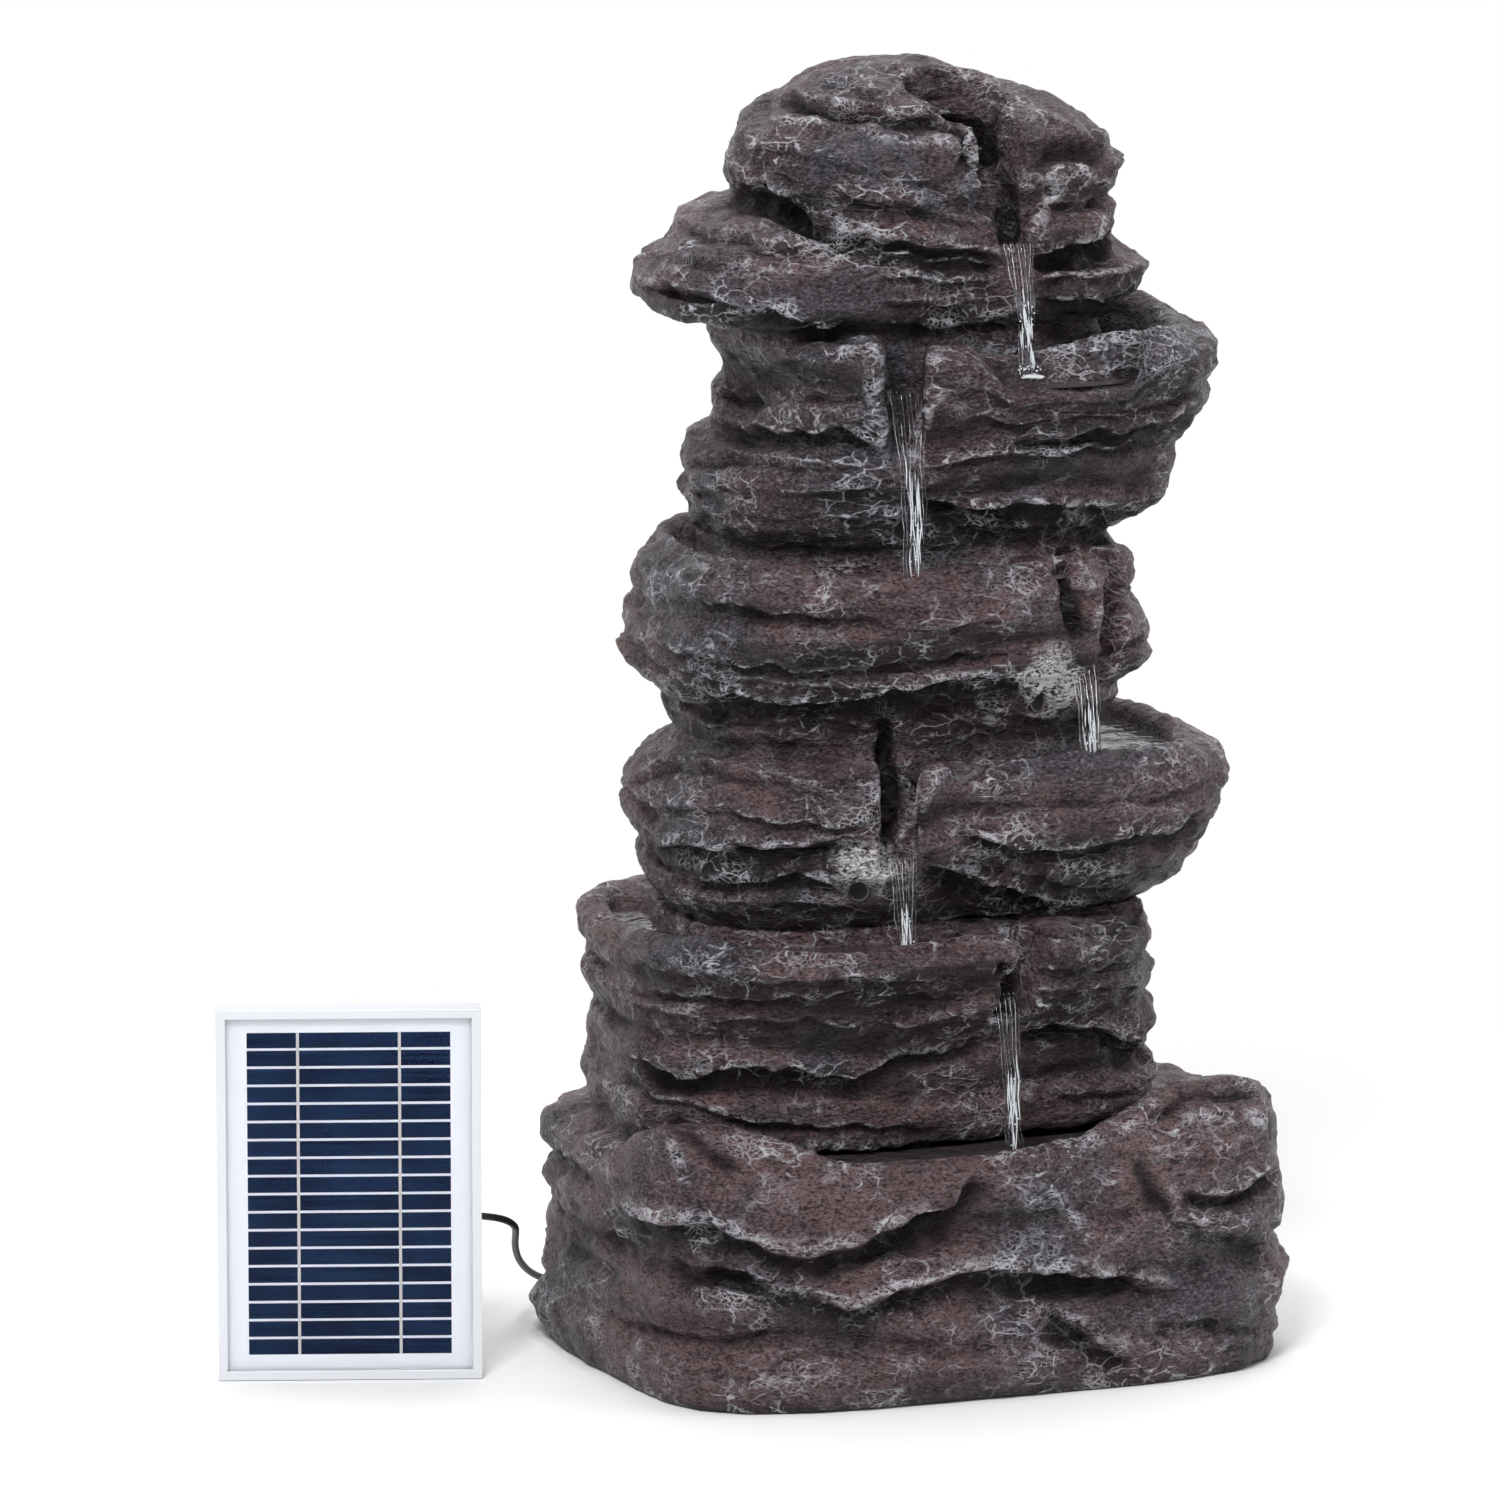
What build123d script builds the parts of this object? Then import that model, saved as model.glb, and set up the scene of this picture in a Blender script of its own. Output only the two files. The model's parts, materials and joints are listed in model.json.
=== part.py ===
from build123d import *

import os
from math import cos, pi, radians, sin, tan

os.makedirs("parts", exist_ok=True)

# Solar cascade fountain: a tower of hollow cast rock tiers on a basin, with a pump, a riser
# hose and spout lamps inside, and a solar panel that stands beside it on its own cord.
# Millimetres, Z up, front towards -Y. The origin is on the floor, under the middle of the basin.

# Driving sizes of the rock
BASIN_HEIGHT = 130.0
LOWER_TIER_HEIGHT = 120.0
MIDDLE_RIGHT_TIER_HEIGHT = 93.0
MIDDLE_LEFT_TIER_HEIGHT = 109.0
UPPER_TIER_HEIGHT = 118.0
SHOULDER_TIER_HEIGHT = 65.0
CROWN_HEIGHT = 75.0
ROCK_HALF_WIDTH = 190.0
ROCK_HALF_DEPTH = 150.0
TOWER_AXIS_Y = 20.0
CASTING_WALL = 13.0
LEDGE_DEPTH = 5.5
LEDGE_HEIGHT = 29.0
ROCK_WOBBLE = 3.5
ROCK_SECTORS = 45

# Basin and bowls
BASIN_FLOOR = 12.0
BASIN_TAPER = 8.0
SEAT_LEDGE = 3.0
BOULDER_RISE = 28.0
BOWL_DEPTH = 26.0
BOWL_SLOPE = 5.0
BOWL_RIM = 12.0
RIM_CROWN = 3.0
RIM_WAVE = 3.0
CUT_OVERRUN = 60.0
STATIC_CLEARANCE = 0.05

# Spouts
SPOUT_WIDTH = 22.0
SPOUT_SILL = 14.0
SPOUT_FALL = 30.0
SPOUT_BACKING = 18.0
POT_REACH = 50.0
POT_TOP_RADIUS = 33.0
POT_BOTTOM_RADIUS = 21.0
POT_FLOOR_RISE = 29.0
CROWN_HOLLOW = 14.0

# Rear hatch of the pump chamber
HATCH_WIDTH = 110.0
HATCH_HEIGHT = 76.0
HATCH_SILL = 18.0
HATCH_STOP = 6.0
HATCH_REBATE = 6.0
HATCH_CLEARANCE = 0.3

# Spout lamps
LAMP_DIAMETER = 12.0
LAMP_LENGTH = 26.0
LAMP_RECESS = 3.0
LAMP_LENS_THICKNESS = 2.5
LAMP_WALL = 1.2

# Pump
PUMP_X = 8.0
PUMP_Y = 50.0
PUMP_LENGTH = 42.0
PUMP_WIDTH = 40.0
PUMP_HEIGHT = 34.0
PUMP_CORNER = 5.0
CUP_HEIGHT = 6.0
CUP_DIAMETER = 13.0
CUP_STEM_DIAMETER = 5.0
CUP_STEM_LENGTH = 3.0
CUP_INSET = 7.0
ROTOR_DIAMETER = 14.0
ROTOR_LENGTH = 22.0
ROTOR_CLEARANCE = 0.5
MAGNET_WALL = 2.0
SHAFT_DIAMETER = 2.0
SHAFT_CLEARANCE = 0.03
BUSH_DIAMETER = 6.0
BUSH_LENGTH = 3.0
IMPELLER_DIAMETER = 24.0
IMPELLER_DISC = 1.6
IMPELLER_BLADE = 1.4
IMPELLER_BLADE_HEIGHT = 4.5
IMPELLER_BLADES = 6
VOLUTE_CLEARANCE = 1.2
VOLUTE_COVER_THICKNESS = 3.5
INLET_HOLE_DIAMETER = 4.2
INLET_HOLE_CIRCLE = 12.0
INLET_HOLES = 6
STRAINER_DEPTH = 13.0
STRAINER_WALL = 1.8
STRAINER_SLOT = 2.2
STRAINER_SLOT_LENGTH = 22.0
STRAINER_SLOT_PITCH = 4.4
STRAINER_SLOTS_A_SIDE = 3
KNOB_DIAMETER = 9.0
KNOB_LENGTH = 5.0
KNOB_STEM_DIAMETER = 4.0
KNOB_GRIP_WIDTH = 2.4
KNOB_GRIP_HEIGHT = 2.0
KNOB_CLIP_DIAMETER = 6.5
KNOB_CLIP_THICKNESS = 1.2
KNOB_CLEARANCE = 0.05
NOZZLE_DIAMETER = 12.0
NOZZLE_BORE = 8.0
NOZZLE_LENGTH = 16.0
NOZZLE_FLANGE_DIAMETER = 16.0
NOZZLE_FLANGE = 2.5

# Riser hose and its outlet in the crown
HOSE_DIAMETER = 16.0
HOSE_BORE = 12.04
OUTLET_FLANGE_DIAMETER = 27.0
OUTLET_FLANGE = 3.0
OUTLET_RISE = 9.0
OUTLET_BORE = 8.0
OUTLET_SPIGOT = 12.0

# Leads inside the tower
LEAD_DIAMETER = 4.0
LAMP_LEAD_DIAMETER = 2.4
JUNCTION_X = -40.0
JUNCTION_Y = 128.0
JUNCTION_DIAMETER = 18.0
JUNCTION_LENGTH = 46.0
GROMMET_DIAMETER = 13.0
GROMMET_FLANGE_DIAMETER = 18.0
GROMMET_FLANGE = 2.5
GROMMET_X = 82.0
GROMMET_Z = 158.0
GROMMET_LENGTH = 18.0

# Solar panel
PANEL_WIDTH = 143.0
PANEL_HEIGHT = 205.0
PANEL_DEPTH = 15.0
PANEL_X = -309.0
PANEL_FRONT_Y = 40.0
PANEL_YAW = -17.9
RAIL_FACE = 5.0
RAIL_SKIN = 1.2
RAIL_FLANGE = 9.0
GLASS_THICKNESS = 3.2
CELL_THICKNESS = 0.4
BACKSHEET_THICKNESS = 0.5
CELL_WIDTH = 110.0
CELL_HEIGHT = 8.5
CELL_PITCH = 10.0
CELL_COUNT = 18
RIBBON_WIDTH = 1.6
RIBBON_THICKNESS = 0.2
RIBBON_SHARE = 0.25
FRAME_BOSS = 6.0
FRAME_SCREW_DIAMETER = 2.9
FRAME_SCREW_LENGTH = 12.0
FRAME_SCREW_HEAD = 5.2

# Control box on the back of the panel
BOX_WIDTH = 72.0
BOX_HEIGHT = 74.0
BOX_DEPTH = 24.0
BOX_WALL = 2.0
BOX_BOTTOM_Z = 72.0
BOX_CORNER = 4.0
LID_THICKNESS = 2.4
SEAL_DEPTH = 1.0
SEAL_WIDTH = 1.0
LID_SCREW_DIAMETER = 2.5
LID_SCREW_LENGTH = 10.0
LID_SCREW_HEAD = 4.8
LID_SCREW_INSET = 5.5
LID_POST_DIAMETER = 6.0
BATTERY_DIAMETER = 18.0
BATTERY_LENGTH = 64.0
BATTERY_GAP = 0.3
BATTERY_COUNT = 2
BOARD_WIDTH = 52.0
BOARD_HEIGHT = 24.0
BOARD_THICKNESS = 1.6
BOARD_POST = 5.0
SWITCH_SIZE = 6.0
SWITCH_HEIGHT = 4.0
BUTTON_DIAMETER = 12.0
BUTTON_TRAVEL = 1.2
BUTTON_PROUD = 2.2
BUTTON_FLANGE = 1.2
BUTTON_FLANGE_DIAMETER = 15.0
BUTTON_CLEARANCE = 0.1
BUTTON_STEM_DIAMETER = 4.0
GLAND_DIAMETER = 11.0
GLAND_NUT_LENGTH = 8.0
GLAND_TAPER_LENGTH = 12.0
GLAND_TIP_DIAMETER = 6.5
GLAND_Z = 86.0
GLAND_INSET = 8.0

# Fold-out foot of the panel
FOOT_WIDTH = 70.0
FOOT_LENGTH = 64.0
FOOT_THICKNESS = 4.0
FOOT_BARREL = 7.0
FOOT_PIN_DIAMETER = 3.0
FOOT_PIN_CLEARANCE = 0.05
FOOT_SIDE_GAP = 0.3
FOOT_SLOT_WIDTH = 34.0
FOOT_SLOT_LENGTH = 30.0
BRACKET_EAR = 4.0
BRACKET_PLATE = 2.5
BRACKET_HEIGHT = 20.0
BRACKET_SCREW_DIAMETER = 3.0
BRACKET_SCREW_HEAD = 5.6
PAD_DIAMETER = 9.0
PAD_HEIGHT = 1.2

# Cord between the panel and the tower
CORD_DIAMETER = 4.0
CORD_FIT = 0.04
CORD_GRIP = 8.0
COIL_X = -8.0
COIL_Y = 216.0
COIL_INNER_RADIUS = 14.3
COIL_PITCH = 4.5
COIL_TURNS_A_LAYER = 4
COIL_LAYERS = 4
COIL_CLIMB_STEP = 0.9
COIL_LIFT = 1.3
TIE_WIDTH = 8.0
TIE_THICKNESS = 1.0
TIE_GAP = 0.3

# Outlines of the rock. Each row holds a share of the tier's height, then the reach to the
# left and right as shares of the rock's half width, and to the front and back as shares of
# its half depth, all from the tower's axis.
BASIN_SHARES = (
    (0.00, 0.926, 1.032, 0.933, 0.973),
    (0.19, 0.937, 1.053, 0.953, 0.987),
    (0.54, 0.911, 1.037, 0.920, 0.973),
    (0.85, 0.932, 1.026, 0.880, 0.960),
    (1.00, 0.916, 1.000, 0.827, 0.920),
)
LOWER_TIER_SHARES = (
    (0.00, 0.858, 0.700, 0.520, 0.867),
    (0.25, 0.884, 0.705, 0.540, 0.880),
    (0.50, 0.863, 0.695, 0.620, 0.867),
    (0.75, 0.868, 0.689, 0.760, 0.840),
    (0.92, 0.895, 0.647, 0.853, 0.827),
    (1.00, 0.879, 0.658, 0.827, 0.800),
)
MIDDLE_RIGHT_TIER_SHARES = (
    (0.00, 0.668, 0.647, 0.500, 0.747),
    (0.10, 0.700, 0.774, 0.547, 0.753),
    (0.45, 0.732, 0.879, 0.740, 0.787),
    (0.75, 0.763, 0.953, 0.760, 0.773),
    (0.92, 0.674, 0.916, 0.747, 0.720),
    (1.00, 0.632, 0.853, 0.707, 0.667),
)
MIDDLE_LEFT_TIER_SHARES = (
    (0.00, 0.600, 0.542, 0.473, 0.660),
    (0.20, 0.642, 0.605, 0.533, 0.693),
    (0.45, 0.758, 0.705, 0.700, 0.733),
    (0.70, 0.732, 0.637, 0.787, 0.733),
    (0.90, 0.711, 0.600, 0.800, 0.720),
    (1.00, 0.653, 0.579, 0.767, 0.693),
)
UPPER_TIER_SHARES = (
    (0.00, 0.521, 0.547, 0.493, 0.640),
    (0.20, 0.589, 0.779, 0.613, 0.653),
    (0.35, 0.568, 0.779, 0.667, 0.667),
    (0.55, 0.453, 0.842, 0.707, 0.653),
    (0.80, 0.442, 0.900, 0.773, 0.633),
    (0.95, 0.511, 0.884, 0.787, 0.587),
    (1.00, 0.516, 0.816, 0.753, 0.553),
)
SHOULDER_TIER_SHARES = (
    (0.00, 0.463, 0.547, 0.480, 0.520),
    (0.15, 0.758, 0.626, 0.560, 0.560),
    (0.45, 0.800, 0.684, 0.613, 0.587),
    (0.70, 0.658, 0.558, 0.613, 0.573),
    (0.92, 0.611, 0.563, 0.613, 0.560),
    (1.00, 0.532, 0.584, 0.600, 0.547),
)
CROWN_SHARES = (
    (0.00, 0.458, 0.553, 0.560, 0.520),
    (0.25, 0.500, 0.605, 0.600, 0.547),
    (0.50, 0.479, 0.558, 0.587, 0.533),
    (0.72, 0.379, 0.395, 0.493, 0.467),
    (0.90, 0.263, 0.200, 0.320, 0.333),
    (1.00, 0.116, 0.063, 0.093, 0.160),
)
# Reservoir under the tower: reach to the left and right, then front and back, as above
RESERVOIR_SHARES = (0.726, 0.589, 0.747, 0.653)

# How boxy each outline is: 2 is an ellipse, and larger is squarer
BASIN_BOW = 4.5
TOWER_BOW = 3.0
CROWN_BOW = 2.6

# Steps of a ledge up its own height, as shares of the ledge's height and depth
LEDGE_STEP_SHARES = ((0.0, -1.0), (0.3, 0.5), (0.75, 1.0))
# How far a ledge slants and ripples on its way round, as shares of its height
LEDGE_TILT_SHARE = 0.3
LEDGE_RIPPLE_SHARE = 0.12

# Bowls: first and last bearing in degrees, anticlockwise from the right, and the ramp at each end
BOWL_RAMP = 10.0
LOWER_BOWL = (150.0, 286.0)
MIDDLE_RIGHT_BOWL = (248.0, 398.0)
MIDDLE_LEFT_BOWL = (142.0, 314.0)
UPPER_BOWL = (250.0, 398.0)
NO_BOWL = (0.0, 0.0)

# Spouts: bearing in degrees, reach of the lip from the axis, and drop of the lip under the rim
CROWN_SPOUT = (287.5, 96.0, 22.0)
UPPER_SPOUT = (251.0, 99.0, 54.0)
MIDDLE_LEFT_SPOUT = (312.5, 108.0, 70.0)
MIDDLE_RIGHT_SPOUT = (250.0, 102.0, 54.0)
LOWER_SPOUT = (284.5, 99.0, 46.0)

# Boulders on the basin's front corners: bearing and half spread in degrees, share of the rise
BOULDERS = ((214.0, 30.0, 0.85), (322.0, 34.0, 1.0))

# Spout lamps: bearing in degrees, and height above the foot of the tier
MIDDLE_LEFT_LAMP = (302.0, 26.0)
MIDDLE_RIGHT_LAMP = (238.0, 24.0)
UPPER_LAMP = (251.0, 15.0)

# Points of the cord's free route, in order from the gland to the coil
CORD_PANEL_POINTS = (
    (-244.5, 41.8, 86.0),
    (-231.5, 39.6, 85.0),
    (-218.6, 44.2, 81.2),
    (-208.2, 57.5, 73.8),
    (-201.5, 77.0, 65.0),
    (-193.5, 102.5, 51.5),
    (-181.5, 131.0, 36.0),
    (-164.0, 158.5, 20.5),
    (-141.0, 178.5, 9.5),
    (-111.5, 188.5, 4.0),
    (-78.0, 186.5, 2.8),
    (-44.0, 183.7, 3.3),
)
# Points of the cord's free route, in order from the coil to the grommet
CORD_TOWER_POINTS = (
    (9.0, 185.95, 16.8),
    (24.0, 186.8, 20.0),
    (41.0, 187.0, 34.0),
    (56.0, 186.0, 56.0),
    (67.0, 185.0, 80.0),
    (75.0, 184.3, 104.0),
    (80.0, 183.5, 124.0),
    (82.3, 179.0, 142.0),
    (82.3, 167.5, 155.0),
    (82.0, 151.0, 158.0),
)

# How a solid lies along its own Z, and along Y for the panel's sheets
INWARDS = (Align.CENTER, Align.CENTER, Align.MAX)
UPWARDS = (Align.CENTER, Align.CENTER, Align.MIN)
FACING_BACK = (Align.CENTER, Align.MIN, Align.CENTER)

# Levels of the tiers' seats, worked out from their heights
LOWER_Z = BASIN_HEIGHT
MIDDLE_RIGHT_Z = LOWER_Z + LOWER_TIER_HEIGHT
MIDDLE_LEFT_Z = MIDDLE_RIGHT_Z + MIDDLE_RIGHT_TIER_HEIGHT
UPPER_Z = MIDDLE_LEFT_Z + MIDDLE_LEFT_TIER_HEIGHT
SHOULDER_Z = UPPER_Z + UPPER_TIER_HEIGHT
CROWN_Z = SHOULDER_Z + SHOULDER_TIER_HEIGHT
ROCK_HEIGHT = CROWN_Z + CROWN_HEIGHT


def save(name, *solids):
    """Write one node: a single solid, or a group of separate ones."""
    shape = solids[0] if len(solids) == 1 else Compound(children=list(solids))
    export_step(shape, f"parts/{name}.step")


# Rock

def bearings():
    return [2 * pi * k / ROCK_SECTORS for k in range(ROCK_SECTORS)]


def full_size(shares):
    left, right, front, back = shares
    return (
        left * ROCK_HALF_WIDTH,
        right * ROCK_HALF_WIDTH,
        front * ROCK_HALF_DEPTH,
        back * ROCK_HALF_DEPTH,
    )


def sides_at(rows, share):
    """Reaches to the left, right, front and back at a share of a tier's height."""
    for low, high in zip(rows, rows[1:]):
        if share <= high[0]:
            along = (share - low[0]) / (high[0] - low[0])
            mixed = [a + (b - a) * along for a, b in zip(low[1:], high[1:])]
            break
    else:
        mixed = rows[-1][1:]
    return full_size(mixed)


def reach(angle, sides, bow):
    """Distance from the tower's axis to a rounded outline that reaches its own way to each side."""
    left, right, front, back = sides
    across = right if cos(angle) > 0 else left
    along = back if sin(angle) > 0 else front
    return (abs(cos(angle) / across) ** bow + abs(sin(angle) / along) ** bow) ** (-1 / bow)


def wobble(angle, z):
    """Slow in and out of the rock face, the same for every piece at one place."""
    turn = 2 * pi * z / ROCK_HEIGHT
    return ROCK_WOBBLE * (sin(3 * angle + 1.5 * turn) + 0.6 * sin(5 * angle - 2.5 * turn)) / 1.6


def at(angle, distance, z):
    return (distance * cos(angle), TOWER_AXIS_Y + distance * sin(angle), z)


def rings_solid(rings, closed):
    """Solid of flat triangles between rings of points. Closed rings wrap like a tyre, and
    open ones are shut by a fan at the first and at the last ring."""
    count = len(rings[0])
    triangles = []
    pairs = list(zip(rings, rings[1:]))
    if closed:
        pairs.append((rings[-1], rings[0]))
    for low, high in pairs:
        for k in range(count):
            n = (k + 1) % count
            triangles.append((low[k], low[n], high[n]))
            triangles.append((low[k], high[n], high[k]))
    if not closed:
        for ring, flip in ((rings[0], True), (rings[-1], False)):
            middle = tuple(sum(axis) / count for axis in zip(*ring))
            for k in range(count):
                n = (k + 1) % count
                triangles.append((ring[n], ring[k], middle) if flip else (ring[k], ring[n], middle))
    faces = [Face(Wire.make_polygon(points, close=True)) for points in triangles]
    return Solid(Shell(faces))


def outer_rings(rows, foot_z, height, bow, top_rise=None):
    """Weathered outside of a tier, in ledges, from its foot to its top."""
    ledges = max(1, round(height / LEDGE_HEIGHT))
    steps = [(0.0, 0.0, 0)]
    for ledge in range(ledges):
        for up, out in LEDGE_STEP_SHARES:
            share = (ledge + up) / ledges
            if share > 0:
                steps.append((share, out, ledge))
    steps.append((1.0, 0.0, ledges))
    rings = []
    for share, out, ledge in steps:
        ring = []
        for angle in bearings():
            swell = 0.6 + 0.4 * sin(3 * angle + 2.1 * ledge + foot_z / height)
            tilt = LEDGE_TILT_SHARE * sin(2 * angle + 0.6 * ledge + foot_z / height)
            tilt += LEDGE_RIPPLE_SHARE * sin(5 * angle + 0.8 * ledge)
            level = share + sin(pi * share) * tilt / ledges
            z = foot_z + height * level
            if top_rise:
                z += top_rise(angle) * level ** 4
            distance = reach(angle, sides_at(rows, level), bow) + wobble(angle, foot_z + height * level)
            distance += LEDGE_DEPTH * out * swell
            ring.append(at(angle, distance, z))
        rings.append(ring)
    return rings


def bowl_share(angle, bowl):
    """Nought where the top is flat, one where the bowl has its full depth."""
    start, end = (radians(bearing) for bearing in bowl)
    ramp = radians(BOWL_RAMP)
    best = 0.0
    for turn in (angle, angle + 2 * pi):
        if start < turn < end:
            best = max(best, min(1.0, (turn - start) / ramp, (end - turn) / ramp))
    return best


def near_spout(angle, spout):
    off = (angle - radians(spout[0]) + pi) % (2 * pi) - pi
    return abs(off) < radians(SPOUT_BACKING)


def rim_rise(angle, bowl, share):
    """Gentle up and down of a bowl's rim, none where the next tier stands."""
    wave = sin(4 * angle) + sin(7 * angle + 1)
    return bowl_share(angle, bowl) * (RIM_WAVE * wave / 2 + RIM_CROWN * share)


def tier(rows, foot_z, height, bow, next_rows, next_bow, bowl, spout):
    """Hollow tier with an open duct and a bowl round the foot of the tier that stands on it."""
    rings = outer_rings(rows, foot_z, height, bow, lambda angle: rim_rise(angle, bowl, -1))
    top_z = foot_z + height
    crest, rim, deep_out, deep_in, lip, duct_top = [], [], [], [], [], []
    for angle in bearings():
        top = reach(angle, sides_at(rows, 1.0), bow) + wobble(angle, top_z)
        foot = reach(angle, sides_at(next_rows, 0.0), next_bow) + wobble(angle, top_z)
        room = top - foot
        depth = BOWL_DEPTH * bowl_share(angle, bowl)
        rim_in = top - min(BOWL_RIM, 0.3 * room)
        lip_out = foot + min(SEAT_LEDGE, 0.15 * room)
        slope = min(BOWL_SLOPE, 0.25 * (rim_in - lip_out))
        crest.append(at(angle, (top + rim_in) / 2, top_z + rim_rise(angle, bowl, 0)))
        rim.append(at(angle, rim_in, top_z + rim_rise(angle, bowl, -1)))
        deep_out.append(at(angle, rim_in - slope, top_z - depth))
        deep_in.append(at(angle, lip_out + slope, top_z - depth))
        lip.append(at(angle, lip_out, top_z))
        duct_top.append(at(angle, foot - CASTING_WALL, top_z))
    inner = [duct_top]
    under_bowl = top_z - BOWL_DEPTH - 2 * CASTING_WALL
    shares = [row[0] for row in reversed(rows) if foot_z + row[0] * height < under_bowl - CASTING_WALL / 2]
    for place in ["neck", "shoulder"] + shares:
        ring = []
        for angle in bearings():
            bottom_z = top_z - BOWL_DEPTH * bowl_share(angle, bowl)
            if place == "neck":
                z = bottom_z - CASTING_WALL
            elif place == "shoulder":
                z = bottom_z - 2 * CASTING_WALL
            else:
                z = foot_z + place * height
            open_to = reach(angle, sides_at(rows, (z - foot_z) / height), bow) + wobble(angle, z)
            if place == "neck":
                neck = reach(angle, sides_at(next_rows, 0.0), next_bow) + wobble(angle, z)
                open_to = min(open_to, neck)
            if foot_z < z:
                open_to -= LEDGE_DEPTH / 2
            if near_spout(angle, spout):
                open_to = min(open_to, spout[1])
            ring.append(at(angle, open_to - CASTING_WALL, z))
        inner.append(ring)
    return rings_solid(rings + [crest, rim, deep_out, deep_in, lip] + inner, closed=True)


def boulder_rise(angle):
    """Extra height of the basin's rim at its two front boulders."""
    rise = 0.0
    for bearing, spread, share in BOULDERS:
        off = abs((angle - radians(bearing) + pi) % (2 * pi) - pi) / radians(spread)
        if off < 1:
            rise = max(rise, BOULDER_RISE * share * (0.5 + 0.5 * cos(pi * off)))
    return rise


def basin():
    """Open basin: the pool in front, the pump chamber behind, and the seat of the tower."""
    rings = outer_rings(BASIN_SHARES, 0.0, BASIN_HEIGHT, BASIN_BOW, boulder_rise)
    sides = full_size(RESERVOIR_SHARES)
    crest, seat, mouth, floor = [], [], [], []
    for angle in bearings():
        top = reach(angle, sides_at(BASIN_SHARES, 1.0), BASIN_BOW) + wobble(angle, BASIN_HEIGHT)
        foot = reach(angle, sides_at(LOWER_TIER_SHARES, 0.0), TOWER_BOW) + wobble(angle, BASIN_HEIGHT)
        pool = reach(angle, sides, TOWER_BOW)
        seat_out = min(max(foot + SEAT_LEDGE, pool + 2 * SEAT_LEDGE), top - 2 * SEAT_LEDGE)
        crest.append(at(angle, (top + seat_out) / 2, BASIN_HEIGHT + boulder_rise(angle)))
        seat.append(at(angle, seat_out, BASIN_HEIGHT))
        mouth.append(at(angle, min(pool, seat_out - SEAT_LEDGE), BASIN_HEIGHT))
        floor.append(at(angle, pool - BASIN_TAPER, BASIN_FLOOR))
    return rings_solid(rings + [crest, seat, mouth, floor], closed=False)


def crown():
    """Domed top rock, hollow underneath, before its pot and spout are cut."""
    outside = outer_rings(CROWN_SHARES, CROWN_Z, CROWN_HEIGHT, CROWN_BOW)
    ceiling, mouth = [], []
    for angle in bearings():
        foot = reach(angle, sides_at(CROWN_SHARES, 0.0), CROWN_BOW) + wobble(angle, CROWN_Z)
        open_to = min(foot, POT_REACH) if near_spout(angle, CROWN_SPOUT) else foot
        mouth.append(at(angle, open_to - CASTING_WALL, CROWN_Z))
        ceiling.append(at(angle, open_to - CASTING_WALL - SEAT_LEDGE, CROWN_Z + CROWN_HOLLOW))
    return rings_solid([ceiling, mouth] + outside, closed=False)


def spout_cut(spout, rim_z, start, sill_z):
    """Slot that lets a bowl run over: in from the bowl, down the face and out over its lip."""
    bearing, lip, drop = spout
    beyond = ROCK_HALF_WIDTH + CUT_OVERRUN
    side = Polyline(
        (start, rim_z + CUT_OVERRUN),
        (start, sill_z),
        (lip, rim_z - drop),
        (beyond, rim_z - drop - SPOUT_FALL * (beyond - lip) / CUT_OVERRUN),
        (beyond, rim_z + CUT_OVERRUN),
        close=True,
    )
    face = Plane.XZ * make_face(side)
    slot = extrude(face, SPOUT_WIDTH / 2, both=True)
    return Pos(0, TOWER_AXIS_Y, 0) * Rot(0, 0, bearing) * slot


def bowl_start(bearing, next_rows, next_bow, z):
    angle = radians(bearing)
    foot = reach(angle, sides_at(next_rows, 0.0), next_bow) + wobble(angle, z)
    return foot + SEAT_LEDGE + BOWL_SLOPE


def lamp_face(rows, foot_z, height, lamp):
    """Bearing and place of a spout lamp's face, a little back from the rock around it."""
    bearing, rise = lamp
    angle = radians(bearing)
    distance = reach(angle, sides_at(rows, rise / height), TOWER_BOW) + wobble(angle, foot_z + rise)
    return angle, distance - LAMP_RECESS, foot_z + rise


def lamp_place(face):
    """Frame of a lamp: its own Z runs outwards from the tower."""
    angle, distance, z = face
    outward = (cos(angle), sin(angle), 0)
    return Plane(origin=at(angle, distance, z), z_dir=outward, x_dir=(0, 0, 1))


LAMP_FACES = (
    lamp_face(MIDDLE_LEFT_TIER_SHARES, MIDDLE_LEFT_Z, MIDDLE_LEFT_TIER_HEIGHT, MIDDLE_LEFT_LAMP),
    lamp_face(MIDDLE_RIGHT_TIER_SHARES, MIDDLE_RIGHT_Z, MIDDLE_RIGHT_TIER_HEIGHT, MIDDLE_RIGHT_LAMP),
    lamp_face(UPPER_TIER_SHARES, UPPER_Z, UPPER_TIER_HEIGHT, UPPER_LAMP),
)


def lamp_hole(face):
    through = Cylinder(LAMP_DIAMETER / 2 + STATIC_CLEARANCE, 2 * CUT_OVERRUN)
    return lamp_place(face) * through


def pot_place():
    """Middle of the crown's pot, on the bearing of its spout."""
    angle = radians(CROWN_SPOUT[0])
    return at(angle, POT_REACH, CROWN_Z + POT_FLOOR_RISE)


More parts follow.
